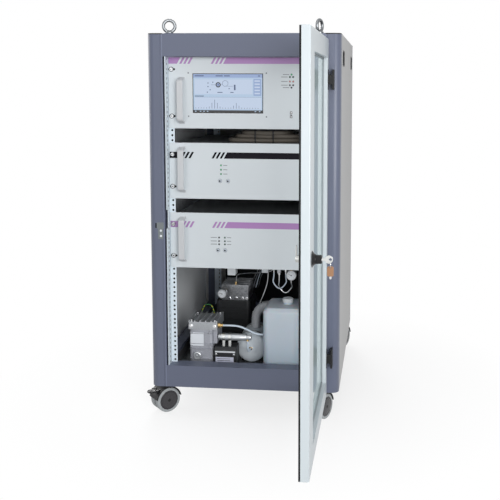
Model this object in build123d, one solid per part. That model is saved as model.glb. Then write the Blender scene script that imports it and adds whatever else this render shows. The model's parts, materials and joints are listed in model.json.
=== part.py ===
from build123d import *
import os
from math import cos, radians, sin, sqrt, tan

# A 19-inch rack cabinet on casters with a glazed door, holding two gas chromatograph units,
# a gas generator and, in the open bay below them, the air and water supply.
# Millimetres. X is to the right, Y to the back, Z up. The origin lies on the floor under the
# middle of the cabinet. The door is drawn standing open by a quarter turn.

# Rack standard
rack_unit = 44.45
panel_width = 482.6
hole_pitch_x = 465.1
hole_first = 6.35
hole_step = 15.875
hole_sides = 6
rack_hole_radius = 3.5
panel_gap = 0.8

# Cabinet frame
cabinet_width = 600.0
cabinet_depth = 800.0
caster_headroom = 20.0
frame_height = 1120.0
post_face = 48.0
post_corner_radius = 21.0
post_wall = 3.0
cap_thickness = 3.0
sill_height = 70.0
header_height = 71.0
header_wall = 4.0
header_top_wall = 10.0
beam_width = 36.0
beam_wall = 2.5
groove_depth = 10.0
groove_width = 8.0
groove_lip = 6.0

# Sheet metal skins
skin = 2.0
skin_return = 12.0
skin_gap = 0.2
base_height = 30.0
base_flange = 30.0
grip_length = 80.0
grip_height = 44.0
grip_below_top = 48.0
grip_inset = 140.0
vent_length = 70.0
vent_width = 7.0
vent_pitch = 24.0
vent_count = 6

# Rack rails
rail_thickness = 2.0
rail_flange_inner = 225.0
rail_side_inner = 243.0
rail_setback = 37.0
rail_side_front = 2.0
rail_end_gap = 0.1
rear_rail_setback = 40.0
latch_notch = 60.0

# Lifting eyebolts
eye_from_post = 19.0
eye_from_front = 20.0
eye_outer_radius = 22.5
eye_inner_radius = 12.5
eye_thickness = 9.0
eye_collar_radius = 12.5
eye_collar_height = 6.0
eye_collar_sides = 12
eye_sides = 16
eye_shank_radius = 5.0
eye_shank_length = 9.0
eye_turns = (20.0, 68.0, 35.0, 80.0)

# Units in the rack, counted in rack units from the top of the rails
upper_units = 5
gap_units = 1
generator_units = 4
lower_units = 4
panel_thickness = 3.0
chassis_width = 440.0
chassis_wall = 1.5
chassis_rise = 1.6
chassis_drop = 2.4
upper_depth = 480.0
generator_depth = 450.0
lower_depth = 480.0
support_leg = 28.0
support_reach = 31.0
slot_half_travel = 1.6

# Bow handles
handle_x = 200.0
handle_width = 19.0
handle_length = 145.0
handle_front_length = 125.0
handle_reach = 28.0
handle_strip = 4.0
upper_handle_centre = 87.2
lower_handle_centre = 92.0

# Screen, lamps and push buttons, from the middle of the cabinet and the foot of their unit
screen_x = -54.0
screen_width = 222.0
screen_foot = 48.4
screen_height = 123.0
screen_thickness = 3.0
screen_module_margin = 6.0
screen_module_depth = 12.0
lamp_radius = 2.6
lamp_height = 2.0
lamp_sides = 8
upper_lamps = ((145.8, 168.6), (140.6, 161.2), (150.8, 161.2), (140.6, 147.4),
               (150.8, 147.4), (140.6, 136.1), (150.8, 136.1), (145.6, 128.7))
generator_lamps = ((-77.0, 107.1), (-77.0, 93.2), (-77.0, 79.6))
lower_lamps = ((-84.8, 99.2), (-66.2, 99.2), (-84.8, 87.8), (-66.2, 87.8),
               (-84.8, 77.6), (-66.2, 77.6))
button_radius = 5.0
button_gap = 0.25
button_proud = 4.0
button_stem = 9.0
generator_buttons = ((-80.6, 57.6), (-55.0, 57.6))
lower_buttons = ((-88.4, 58.3), (-65.6, 58.3))

# Inner pieces of the units
oven_wall = 18.0
oven_size = 180.0
oven_x = 30.0
oven_y = 110.0
oven_headroom = 55.0
column_outer_radius = 68.0
column_inner_radius = 58.0
column_height = 34.0
cage_posts = 12
detector_radius = 14.0
detector_height = 30.0
board_x = -180.0
board_length = 260.0
board_height = 110.0
board_thickness = 1.6
board_foot = 12.0
stack_radius = 42.0
stack_length = 130.0
stack_end_plate = 12.0
stack_end_size = 100.0

# Door, measured from its hinge end, its outer face and the floor
door_side_gap = 26.0
door_below_sill = 3.0
door_below_top = 18.0
door_thickness = 25.0
gasket_thickness = 2.7
gasket_gap = 0.3
gasket_width = 10.0
gasket_inset = 18.0
pin_edge = 15.5
pin_depth = 4.5
pin_radius = 3.0
knuckle_radius = 5.8
running_gap = 0.05
hinge_stile = 34.0
lock_stile = 92.0
bottom_rail = 51.0
top_rail = 57.0
glass_depth = 14.0
glass_thickness = 4.0
glass_inset = 6.0
glass_gap = 0.1
door_edge_radius = 3.0
door_heel_radius = 8.0
hinge_height = 60.0
hinge_knuckle = 14.8
hinge_play = 0.4
hinge_above_sill = 89.0
hinge_below_top = 170.0
notch_depth = 12.5
notch_length = 24.0
leaf_thickness = 1.7
arm_half_width = 4.0
bracket_inner = 17.0
bracket_thickness = 5.5

# Latch and keys
lock_backset = 45.0
lock_above_sill = 542.0
rosette_radius = 20.0
rosette_thickness = 5.0
barrel_radius = 9.0
grip_radius = 10.5
knob_gap = 0.3
knob_disc = 5.0
knob_reach = 25.0
wing_thickness = 12.0
cam_thickness = 3.0
cam_hub_radius = 9.0
cam_width = 12.0
cam_stud_radius = 5.0
plug_radius = 4.5
plug_depth = 18.0
key_thickness = 2.0
key_neck = 6.0
key_bow_radius = 10.0
key_hole_radius = 3.5
ring_radius = 12.0
ring_wire = 1.1
ring_sides = 16
fob_length = 34.0
fob_width = 22.0
fob_thickness = 3.0
spare_key_length = 44.0
tag_hole_radius = 2.2

# Casters
caster_inset_x = 50.0
caster_inset_y = 75.0
caster_plate_size = 70.0
caster_plate_thickness = 3.5
kingpin_radius = 5.0
kingpin_length = 16.0
boss_radius = 14.0
boss_height = 17.0
wheel_radius = 40.0
wheel_inner = 5.3
wheel_outer = 26.0
wheel_dome = 2.0
wheel_edge = 3.0
tyre_inner_radius = 31.0
caster_trail = 30.0
hood_gap = 1.5
hood_wall = 3.0
hood_half_width = 27.0
hood_lift = 8.0
web_half_width = 4.5
web_hub_radius = 16.0
axle_radius = 4.0
pedal_clearance = 9.6
pedal_angle = 41.7
pedal_pin_radius = 2.0
pedal_barrel_radius = 4.0
pedal_half_width = 12.0
pedal_ear = 4.0
pedal_length = 25.0
pedal_thickness = 5.0
caster_headings = {"front_left": 223.0, "front_right": 245.0, "rear_left": 112.0, "rear_right": 68.0}
braked_casters = ("front_left", "front_right")

# Supply bay: places from the middle of the cabinet, its front and the top of the base plate
compressor_x = -198.0
compressor_width = 77.0
compressor_y = 90.0
compressor_depth = 98.0
compressor_height = 132.0
head_overhang = 3.0
head_port_side = 16.0
head_height = 26.0
fin_height = 15.0
fin_thickness = 4.0
fin_count = 6
crank_cover_radius = 13.0
crank_cover_height = 46.0
control_gap = 6.0
control_width = 73.0
control_y = 82.0
control_depth = 56.0
control_height = 76.0
filter_gap = 2.0
filter_length = 109.0
filter_radius = 11.5
filter_y = 100.0
filter_height = 107.0
filter_band = 1.2
filter_band_start = 46.0
filter_band_length = 30.0
filter_port = 1.0
reservoir_offset = 36.0
reservoir_y = 150.0
reservoir_length = 155.0
reservoir_radius = 50.0
reservoir_clear = 2.0
canister_gap = 4.0
canister_width = 142.0
canister_y = 65.0
canister_depth = 145.0
canister_height = 215.0
canister_corner = 20.0
canister_shoulder = 12.0
canister_neck_radius = 15.0
canister_neck_height = 5.0
canister_cap_radius = 18.0
canister_cap_height = 14.0
pump_x = -165.0
pump_width = 125.0
pump_y = 350.0
pump_depth = 120.0
pump_height = 158.0
pump_head_x = -148.0
pump_head_width = 98.0
pump_head_height = 57.0
pump_head_inset = 8.0
gauge_radius = 16.0
gauge_depth = 22.0
gauge_stem_radius = 5.0
gauge_low_x = -136.0
gauge_low_height = 193.0
gauge_low_stem = 28.0
gauge_high_x = 137.0
gauge_high_y = 115.0
gauge_high_drop = 37.0
tube_sides = 8
hose_radius = 3.2
drain_radius = 2.6
steel_line_radius = 2.0
duct_radius = 13.0
wire_radius = 1.5

# Derived planes
floor_gap = 2 * wheel_radius + caster_headroom
front = -cabinet_depth / 2
back = cabinet_depth / 2
half_width = cabinet_width / 2
frame_top = floor_gap + frame_height
sill_top = floor_gap + sill_height
header_bottom = frame_top - header_height
rack_top = header_bottom - rail_end_gap
post_inner = half_width - post_face
beam_outer = half_width - skin_return
beam_top = frame_top - skin
base_top = floor_gap + base_height
rail_front = front + rail_setback
rail_back_face = rail_front + rail_thickness
rear_rail_face = back - beam_width - skin_return - rear_rail_setback
panel_front = rail_front - panel_thickness
door_half_width = half_width - door_side_gap
door_bottom = floor_gap - door_below_sill
pin_x = door_half_width - pin_edge
pin_y = front - gasket_gap - gasket_thickness - door_thickness + pin_depth
door_top = frame_top - door_below_top
hinge_levels = (floor_gap + hinge_above_sill, frame_top - hinge_below_top)
lock_height = floor_gap + lock_above_sill
door_width = 2 * door_half_width
cam_depth = door_thickness + gasket_thickness + gasket_gap + groove_lip + (groove_width - cam_thickness) / 2
cam_reach = door_side_gap + lock_backset - post_face + groove_depth
control_x = compressor_x + compressor_width + control_gap
filter_x = compressor_x + compressor_width + head_port_side + filter_gap
reservoir_x = control_x + control_width + reservoir_offset
canister_x = reservoir_x + reservoir_radius + canister_gap
head_port_height = compressor_height + head_height / 2
pedal_x = caster_trail + (wheel_radius + pedal_clearance) * cos(radians(pedal_angle))
pedal_z = wheel_radius + (wheel_radius + pedal_clearance) * sin(radians(pedal_angle))
low = (Align.CENTER, Align.CENTER, Align.MIN)


def block(x_span, y_span, z_span):
    """A box between two planes on each axis."""
    spans = (x_span, y_span, z_span)
    middle = [(low_end + high_end) / 2 for low_end, high_end in spans]
    return Pos(*middle) * Box(*[abs(high_end - low_end) for low_end, high_end in spans])


def patch(x_span, y_span):
    """A flat rectangle between two lines on each axis."""
    return Pos(sum(x_span) / 2, sum(y_span) / 2) * Rectangle(
        abs(x_span[1] - x_span[0]), abs(y_span[1] - y_span[0]))


def rod(start, direction, radius, length):
    """A round bar that leaves a point along a direction."""
    return Plane(origin=start, z_dir=direction) * Cylinder(radius, length, align=low)


def left_and_right(shape):
    """A shape and its mirror image on the other side of the cabinet."""
    return shape.solids() + mirror(shape, about=Plane.YZ).solids()


def front_and_back(shape):
    """A shape and its mirror image at the other end of the cabinet."""
    return shape.solids() + mirror(shape, about=Plane.XZ).solids()


def tube_along(points, radius):
    """A round line through points, with every turn rounded as far as its runs allow."""
    places = [Vector(*point) for point in points]
    bends = []
    for before, corner, after in zip(places, places[1:], places[2:]):
        turn = radians((corner - before).get_angle(after - corner))
        shorter = min((corner - before).length, (after - corner).length)
        bends.append(0.45 * shorter / tan(turn / 2))
    if bends:
        path = FilletPolyline(*places, radius=bends)
    else:
        path = Line(*places)
    print("line radii", [round(bend, 1) for bend in bends])
    section = Plane(origin=places[0], z_dir=places[1] - places[0]) * RegularPolygon(radius, tube_sides)
    return sweep(section, path=path)


def unit_foot(units_from_top):
    """The height of the lower edge of a unit that ends so many rack units below the rail top."""
    return rack_top - units_from_top * rack_unit


upper_foot = unit_foot(upper_units)
generator_foot = unit_foot(upper_units + gap_units + generator_units)
lower_foot = unit_foot(upper_units + 2 * gap_units + generator_units + lower_units)
rack_rows = int((rack_top - sill_top) / rack_unit)


# ---------------------------------------------------------------- frame and skins

def corner_post():
    """Front right post: a drawn profile with two chambers and the groove that the latch uses."""
    outline = patch((-post_face, 0), (0, post_face))
    outer_corner = outline.vertices().sort_by(Axis.Y)[:2].sort_by(Axis.X)[-1]
    outline = fillet(outer_corner, post_corner_radius)
    groove = (groove_lip, groove_lip + groove_width)
    groove_floor = -post_face + groove_depth
    wide = patch((groove_floor + post_wall, -post_wall), (post_wall, post_face - post_wall))
    wide_corner = wide.vertices().sort_by(Axis.Y)[:2].sort_by(Axis.X)[-1]
    wide = fillet(wide_corner, post_corner_radius - post_wall)
    narrow = patch((-post_face + post_wall, groove_floor), (groove[1] + post_wall, post_face - post_wall))
    outline -= wide
    outline -= narrow
    outline -= patch((-post_face, groove_floor), groove)
    outline -= patch((-post_face + 5, -post_face + 7), (0, 1))
    post = extrude(outline, frame_height - cap_thickness)
    return Pos(half_width, front, floor_gap) * post


def corner_posts():
    posts = []
    for solid in left_and_right(corner_post()):
        posts += front_and_back(Part() + solid)
    return posts


def corner_caps():
    outline = patch((-post_face, 0), (0, post_face))
    outer_corner = outline.vertices().sort_by(Axis.Y)[:2].sort_by(Axis.X)[-1]
    cap = Pos(half_width, front, frame_top - cap_thickness) * extrude(
        fillet(outer_corner, post_corner_radius), cap_thickness)
    caps = []
    for solid in left_and_right(cap):
        caps += front_and_back(Part() + solid)
    return caps


def eye_places():
    x, y = post_inner - eye_from_post, back - eye_from_front
    return [(side * x, end * y) for end in (-1, 1) for side in (-1, 1)]


def bored_for_eyes(bar):
    for x, y in eye_places():
        bar -= rod((x, y, frame_top - header_top_wall - 1), (0, 0, 1),
                   eye_shank_radius + running_gap, header_top_wall + 2)
    return bar


def hollow_bar(x_span, y_span, z_span, wall, top_wall):
    """A closed box section that runs along X."""
    bar = block(x_span, y_span, z_span)
    return bar - block(x_span, (y_span[0] + wall, y_span[1] - wall), (z_span[0] + wall, z_span[1] - top_wall))


def front_crossbars():
    across = (-post_inner, post_inner)
    through = (front, front + post_face)
    header = hollow_bar(across, through, (header_bottom, frame_top), header_wall, header_top_wall)
    header = fillet(header.edges().filter_by(Axis.X).group_by(Axis.Y)[0].group_by(Axis.Z)[-1], 3)
    sill = hollow_bar(across, through, (floor_gap, sill_top), header_wall, header_wall)
    return bored_for_eyes(header).solids() + sill.solids()


def frame_beams():
    """The rear crossbars and the four beams that run from front to back behind the side panels."""
    across = (-post_inner, post_inner)
    rear = (back - post_face, back - skin_return)
    upper = block(across, (back - post_face, back), (beam_top - header_top_wall, frame_top))
    upper += hollow_bar(across, rear, (header_bottom, beam_top), header_wall, header_top_wall)
    bars = bored_for_eyes(upper).solids()
    bars += hollow_bar(across, rear, (floor_gap, sill_top), header_wall, header_wall).solids()
    along = (front + post_face, back - post_face)
    for z_span in ((floor_gap, sill_top), (header_bottom, beam_top)):
        beam = block((post_inner, beam_outer), along, z_span)
        beam -= block((post_inner + beam_wall, beam_outer - beam_wall), along,
                      (z_span[0] + beam_wall, z_span[1] - beam_wall))
        bars += left_and_right(beam)
    return bars


def base_plate():
    edge = post_inner
    ends = (front + post_face, back - post_face)
    plate = block((-edge, edge), ends, (base_top - skin, base_top))
    for side in (-1, 1):
        plate += block((side * (edge - skin), side * edge), ends, (base_top - skin, base_top + base_flange))
    return plate.solids()


def roof_panel():
    """The top sheet, with a row of vents at each side."""
    roof = block((-half_width, half_width), (front + post_face + skin_gap, back - post_face - skin_gap),
                 (beam_top, frame_top))
    roof = fillet(roof.edges().filter_by(Axis.Y).group_by(Axis.Z)[-1], skin / 2)
    for side in (-1, 1):
        for step in range(vent_count):
            y = (step - (vent_count - 1) / 2) * vent_pitch
            roof -= Pos(side * post_inner / 2, y, frame_top) * Box(vent_length, vent_width, 4 * skin)
    return roof.solids()


def tray(width, height):
    """A sheet in the XZ plane with a return on all four edges, its outer face at Y = 0."""
    sheet = Pos(0, -skin_return / 2, height / 2) * Box(width, skin_return, height)
    inner = Pos(0, -skin_return / 2 - skin, height / 2) * Box(width - 2 * skin, skin_return, height - 2 * skin)
    return sheet - inner


def side_panels():
    """Steel trays between the posts, each with two grip openings near its top."""
    height = beam_top - skin_gap - floor_gap
    depth = cabinet_depth - 2 * post_face - 2 * skin_gap
    panel = tray(depth, height)
    for end in (-1, 1):
        y = end * (cabinet_depth / 2 - grip_inset)
        panel -= Pos(y, -skin / 2, height - grip_below_top - grip_height / 2) * Box(
            grip_length, 3 * skin, grip_height)
    placed = Pos(half_width, 0, floor_gap) * Rot(0, 0, -90) * panel
    return left_and_right(placed)


def rear_panel():
    """The back sheet, with a field of vents low down for the compressors."""
    height = beam_top - header_top_wall - skin_gap - floor_gap
    panel = tray(2 * (post_inner - skin_gap), height)
    for row in range(vent_count):
        for column in (-1, 0, 1):
            panel -= Pos(column * 2 * vent_length, -skin / 2, sill_height + 2 * vent_pitch + row * vent_pitch) * Box(
                vent_length, 3 * skin, vent_width)
    return (Pos(0, back, floor_gap) * panel).solids()


def lifting_eyebolts():
    bolts = []
    for (x, y), turn in zip(eye_places(), eye_turns):
        ring = RegularPolygon(eye_outer_radius, eye_sides) - RegularPolygon(eye_inner_radius, eye_sides)
        ring = extrude(ring, eye_thickness / 2, both=True)
        bolt = Pos(0, 0, eye_outer_radius) * Rot(90, 0, 0) * ring
        collar = extrude(RegularPolygon(eye_collar_radius, eye_collar_sides), eye_collar_height)
        bolt += collar
        bolt += rod((0, 0, 0), (0, 0, -1), eye_shank_radius, eye_shank_length)
        bolts += (Pos(x, y, frame_top) * Rot(0, 0, turn) * bolt).solids()
    return bolts


# ---------------------------------------------------------------- rack

def row_heights():
    """The heights of all the holes of a rail, three to a rack unit, counted down from its top."""
    heights = []
    for row in range(1, rack_rows + 1):
        for step in range(3):
            heights.append(rack_top - row * rack_unit + hole_first + step * hole_step)
    return heights


def rail_holes(y, round_rows):
    """One column of holes in the right-hand rail: round in some rows, and faceted to save faces elsewhere."""
    turned = Plane(origin=(hole_pitch_x / 2, y, 0), z_dir=(0, -1, 0), x_dir=(1, 0, 0))
    spots = []
    for number, height in enumerate(row_heights()):
        outline = Circle(rack_hole_radius)
        if number not in round_rows:
            outline = RegularPolygon(rack_hole_radius, hole_sides)
        spots.append(Pos(0, height) * outline)
    return extrude(turned * Sketch(children=spots), 3 * rail_thickness, both=True)


def front_rack_rails():
    span = (sill_top, header_bottom)
    rail = block((rail_flange_inner, rail_side_inner + rail_thickness), (rail_front, rail_back_face), span)
    rail += block((rail_side_inner, rail_side_inner + rail_thickness),
                  (front + rail_side_front, rail_back_face), span)
    first_free_row = 3 * (upper_units + generator_units + lower_units + 2 * gap_units)
    rail -= rail_holes(rail_front, (first_free_row, first_free_row + 2))
    left = mirror(rail, about=Plane.YZ)
    notch = block((-rail_side_inner - 2 * rail_thickness, -rail_side_inner + rail_thickness),
                  (front, front + groove_lip + groove_width + rail_side_front),
                  (lock_height - latch_notch / 2, lock_height + latch_notch / 2))
    return rail.solids() + (left - notch).solids()


def rear_rack_rails():
    span = (sill_top, header_bottom)
    rail = block((rail_flange_inner, rail_side_inner + rail_thickness),
                 (rear_rail_face, rear_rail_face + rail_thickness), span)
    rail += block((rail_side_inner, rail_side_inner + rail_thickness),
                  (rear_rail_face, back - post_face - skin_gap), span)
    rail += block((rail_side_inner, post_inner), (rear_rail_face, rear_rail_face + rail_thickness), span)
    return left_and_right(rail)


def chassis_supports():
    """Angles from the front rail to the rear rail, under both edges of every unit."""
    supports = []
    inner = chassis_width / 2
    for foot in (upper_foot, generator_foot, lower_foot):
        top = foot + chassis_rise
        y_span = (rail_back_face, rear_rail_face)
        angle = block((rail_side_inner - support_reach, rail_side_inner), y_span, (top - rail_thickness, top))
        angle += block((rail_side_inner - rail_thickness, rail_side_inner), y_span,
                       (top - rail_thickness, top + support_leg - rail_thickness))
        assert inner < rail_side_inner - rail_thickness
        supports += left_and_right(angle)
    return supports


def panel_blank(foot, units):
    """A rack panel with four oval fixing holes."""
    top = foot + units * rack_unit - panel_gap
    panel = block((-panel_width / 2, panel_width / 2), (panel_front, rail_front), (foot, top))
    rows = (foot + hole_first + 2 * hole_step, foot + (units - 1) * rack_unit + hole_first)
    for x in (-hole_pitch_x / 2, hole_pitch_x / 2):
        for z in rows:
            slot = chamfer(Rectangle(2 * (rack_hole_radius + slot_half_travel), 2 * rack_hole_radius).vertices(),
                           0.6 * rack_hole_radius)
            panel -= extrude(Plane(origin=(x, panel_front, z), z_dir=(0, 1, 0), x_dir=(1, 0, 0)) * slot,
                             panel_thickness, both=True)
    return panel


def bored_for_buttons(panel, foot, places):
    for x, z in places:
        panel -= rod((x, panel_front - 1, foot + z), (0, 1, 0), button_radius + button_gap, panel_thickness + 2)
    return panel


def screen_box(margin, y_span):
    return block((screen_x - screen_width / 2 - margin, screen_x + screen_width / 2 + margin), y_span,
                 (upper_foot + screen_foot - margin, upper_foot + screen_foot + screen_height + margin))


def upper_unit_panel():
    panel = panel_blank(upper_foot, upper_units)
    return (panel - screen_box(0.2, (panel_front - 1, rail_front + 1))).solids()


def generator_panel():
    panel = panel_blank(generator_foot, generator_units)
    return bored_for_buttons(panel, generator_foot, generator_buttons).solids()


def lower_unit_panel():
    panel = panel_blank(lower_foot, lower_units)
    return bored_for_buttons(panel, lower_foot, lower_buttons).solids()


def chassis(foot, units, depth):
    """A folded steel case, open at the front, where the panel closes it."""
    z_span = (foot + chassis_rise, foot + units * rack_unit - panel_gap - chassis_drop)
    half = chassis_width / 2
    case = block((-half, half), (rail_front, rail_front + depth), z_span)
    case -= block((-half + chassis_wall, half - chassis_wall), (rail_front - 1, rail_front + depth - chassis_wall),
                  (z_span[0] + chassis_wall, z_span[1] - chassis_wall))
    return case.solids()


def touch_screen():
    glass = screen_box(0, (panel_front, rail_front))
    module = screen_box(screen_module_margin, (rail_front, rail_front + screen_module_depth))
    return (glass + module).solids()


def panel_handles():
    """Bent strip handles, two to a unit."""
    handles = []
    centres = (upper_foot + upper_handle_centre, generator_foot + lower_handle_centre,
               lower_foot + lower_handle_centre)
    foot, tip = handle_length / 2, handle_front_length / 2
    for centre in centres:
        outline = Polyline((0, -foot), (handle_reach, -tip), (handle_reach, tip), (0, foot), close=True)
        outer = chamfer(make_face(outline).vertices().group_by(Axis.X)[-1], handle_strip)
        wall = handle_strip
        inside = Polyline((-1, -foot + 1.2 * wall), (handle_reach - wall, -tip + 0.9 * wall),
                          (handle_reach - wall, tip - 0.9 * wall), (-1, foot - 1.2 * wall), close=True)
        inner = make_face(inside)
        side = Plane(origin=(handle_x, panel_front, centre), x_dir=(0, -1, 0), z_dir=(1, 0, 0))
        bow = extrude(side * (outer - inner), handle_width / 2, both=True)
        handles += left_and_right(bow)
    return handles


def indicator_lamps():
    lamps = []
    for foot, places in ((upper_foot, upper_lamps), (generator_foot, generator_lamps), (lower_foot, lower_lamps)):
        for x, z in places:
            seat = Plane(origin=(x, panel_front, foot + z), z_dir=(0, -1, 0))
            lamps += extrude(seat * RegularPolygon(lamp_radius, lamp_sides), lamp_height).solids()
    return lamps


def push_button(foot, place):
    x, z = place
    button = rod((x, panel_front - button_proud, foot + z), (0, 1, 0), button_radius, button_proud + button_stem)
    return button.solids()


# ---------------------------------------------------------------- inside the units

def oven_height(units):
    return units * rack_unit - panel_gap - chassis_rise - chassis_drop - 2 * chassis_wall - oven_headroom


def oven_floor(foot):
    return foot + chassis_rise + chassis_wall


def oven_centre_y():
    return rail_front + oven_y + oven_size / 2


def column_ovens():
    """Insulated boxes in which the separating columns are heated."""
    ovens = []
    for foot, units in ((upper_foot, upper_units), (lower_foot, lower_units)):
        spans = ((oven_x - oven_size / 2, oven_x + oven_size / 2),
                 (oven_centre_y() - oven_size / 2, oven_centre_y() + oven_size / 2),
                 (oven_floor(foot), oven_floor(foot) + oven_height(units)))
        inner = [(start + oven_wall, end - oven_wall) for start, end in spans]
        ovens += (block(*spans) - block(*inner)).solids()
    return ovens


def capillary_columns():
    """Wound columns on their cages, lying on the oven floors."""
    columns = []
    for foot in (upper_foot, lower_foot):
        ring = RegularPolygon(column_outer_radius, cage_posts) - RegularPolygon(column_inner_radius, cage_posts)
        columns += (Pos(oven_x, oven_centre_y(), oven_floor(foot) + oven_wall) * extrude(
            ring, column_height)).solids()
    return columns


def detectors():
    detectors_made = []
    for foot, units in ((upper_foot, upper_units), (lower_foot, lower_units)):
        top = oven_floor(foot) + oven_height(units)
        stem = Pos(oven_x, oven_centre_y(), top) * extrude(RegularPolygon(detector_radius, 12), detector_height)
        flange = Pos(oven_x, oven_centre_y(), top) * Box(3 * detector_radius, 3 * detector_radius,
                                                         detector_height / 4, align=low)
        detectors_made += (stem + flange).solids()
    return detectors_made


def electronics_boards():
    """Upright boards on feet, one in each unit."""
    boards = []
    for foot in (upper_foot, generator_foot, lower_foot):
        bottom = oven_floor(foot)
        y = rail_front + oven_y
        board = block((board_x, board_x + board_thickness), (y, y + board_length),
                      (bottom, bottom + board_height))
        for end in (y, y + board_length - board_foot):
            board += block((board_x, board_x + board_foot), (end, end + board_foot), (bottom, bottom + board_foot))
        board += block((board_x, board_x + 3 * board_foot), (y + board_length / 3, y + board_length / 2),
                       (bottom + board_height / 3, bottom + 2 * board_height / 3))
        boards += board.solids()
    return boards


def electrolysis_stack():
    """The cell that makes hydrogen from water: a round stack between two end plates."""
    centre = oven_floor(generator_foot) + stack_end_size / 2
    y = oven_centre_y()
    stack = rod((oven_x - stack_length / 2, y, centre), (1, 0, 0), stack_radius, stack_length)
    for x in (oven_x - stack_length / 2, oven_x + stack_length / 2 - stack_end_plate):
        stack += block((x, x + stack_end_plate), (y - stack_end_size / 2, y + stack_end_size / 2),
                       (centre - stack_end_size / 2, centre + stack_end_size / 2))
    return stack.solids()


# ---------------------------------------------------------------- door

def door_block(along, through, z_span):
    """A box on the open door: from its hinge end, from its outer face, and from the floor."""
    return block((pin_x + pin_depth - through[1], pin_x + pin_depth - through[0]),
                 (pin_y + pin_edge - along[1], pin_y + pin_edge - along[0]), z_span)


def door_frame():
    leaf = door_block((0, door_width), (0, door_thickness), (door_bottom, door_top))
    heel = leaf.edges().filter_by(Axis.Z).group_by(Axis.X)[0].group_by(Axis.Y)[-1]
    leaf = fillet(heel, door_heel_radius)
    leaf = fillet(leaf.faces().sort_by(Axis.X)[-1].edges(), door_edge_radius)
    window = (hinge_stile, door_width - lock_stile)
    window_z = (door_bottom + bottom_rail, door_top - top_rail)
    leaf -= door_block(window, (-1, door_thickness + 1), window_z)
    reach = glass_inset + glass_gap
    leaf -= door_block((window[0] - reach, window[1] + reach),
                       (glass_depth - glass_gap, glass_depth + glass_thickness + glass_gap),
                       (window_z[0] - reach, window_z[1] + reach))
    for level in hinge_levels:
        leaf -= door_block((-1, notch_length), (-1, notch_depth), (level - hinge_play, level + hinge_height + hinge_play))
    bore = rod((pin_x + pin_depth + 1, lock_y(), lock_height), (-1, 0, 0),
               barrel_radius + running_gap, door_thickness + 2)
    return (leaf - bore).solids()


def door_glass():
    window = (hinge_stile - glass_inset, door_width - lock_stile + glass_inset)
    window_z = (door_bottom + bottom_rail - glass_inset, door_top - top_rail + glass_inset)
    return door_block(window, (glass_depth, glass_depth + glass_thickness), window_z).solids()


def door_gasket():
    through = (door_thickness, door_thickness + gasket_thickness)
    outer = (gasket_inset, door_width - gasket_inset)
    outer_z = (door_bottom + gasket_inset, door_top - gasket_inset)
    ring = door_block(outer, through, outer_z)
    inner = (outer[0] + gasket_width, outer[1] - gasket_width)
    inner_z = (outer_z[0] + gasket_width, outer_z[1] - gasket_width)
    return (ring - door_block(inner, (through[0] - 1, through[1] + 1), inner_z)).solids()


def door_hinge_leaves():
    """The door's half of each hinge: a plate, two knuckles and the pin."""
    leaves = []
    for level in hinge_levels:
        top = level + hinge_height
        leaf = door_block((0.5, notch_length), (notch_depth - leaf_thickness, notch_depth), (level, top))
        for z in (level, top - hinge_knuckle):
            leaf += rod((pin_x, pin_y, z), (0, 0, 1), knuckle_radius, hinge_knuckle)
            leaf += block((pin_x + pin_depth - notch_depth, pin_x),
                          (pin_y - knuckle_radius / 2, pin_y + knuckle_radius / 2), (z, z + hinge_knuckle))
        leaf += rod((pin_x, pin_y, level), (0, 0, 1), pin_radius, hinge_height)
        leaves += leaf.solids()
    return leaves


def hinge_brackets():
    """The post's half of each hinge: a leg on the post's face, an arm and one knuckle."""
    brackets = []
    for level in hinge_levels:
        span = (level + hinge_knuckle + hinge_play, level + hinge_height - hinge_knuckle - hinge_play)
        leg_x = (pin_x + bracket_inner, pin_x + bracket_inner + bracket_thickness)
        bracket = block(leg_x, (pin_y - arm_half_width, front), (level, level + hinge_height))
        bracket += block((pin_x, leg_x[1]), (pin_y - arm_half_width, pin_y + arm_half_width), span)
        bracket += rod((pin_x, pin_y, span[0]), (0, 0, 1), knuckle_radius, span[1] - span[0])
        bracket -= rod((pin_x, pin_y, level), (0, 0, 1), pin_radius + running_gap, hinge_height)
        brackets += bracket.solids()
    return brackets


# ---------------------------------------------------------------- latch and keys

def lock_y():
    return pin_y + pin_edge - door_width + lock_backset


def from_door_face(distance):
    """X at a distance outside the door's outer face; inside the door it is negative."""
    return pin_x + pin_depth + distance


def lock_rod(start, end, radius):
    """A round piece on the lock's axis, between two distances from the door's outer face."""
    return rod((from_door_face(start), lock_y(), lock_height), (1, 0, 0), radius, end - start)


def latch_rosette():
    """The round plate around the knob, fixed to the door."""
    ring = lock_rod(0, rosette_thickness, rosette_radius)
    return (ring - lock_rod(-1, rosette_thickness + 1, barrel_radius + running_gap)).solids()


def latch_knob():
    """The turning grip with the barrel that carries the cam, bored for the key's plug."""
    base = rosette_thickness + knob_gap
    knob = lock_rod(-cam_depth, base, barrel_radius)
    knob += lock_rod(base, base + knob_disc, grip_radius)
    wing = block((from_door_face(base), from_door_face(knob_reach)),
                 (lock_y() - wing_thickness / 2, lock_y() + wing_thickness / 2),
                 (lock_height - grip_radius, lock_height + grip_radius))
    knob += chamfer(wing.edges().filter_by(Axis.Y).group_by(Axis.X)[-1], 4)
    knob += lock_rod(-cam_depth - cam_thickness - 2, -cam_depth, cam_stud_radius)
    knob -= lock_rod(knob_reach - plug_depth, knob_reach + 1, plug_radius + running_gap)
    return knob.solids()


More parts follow.
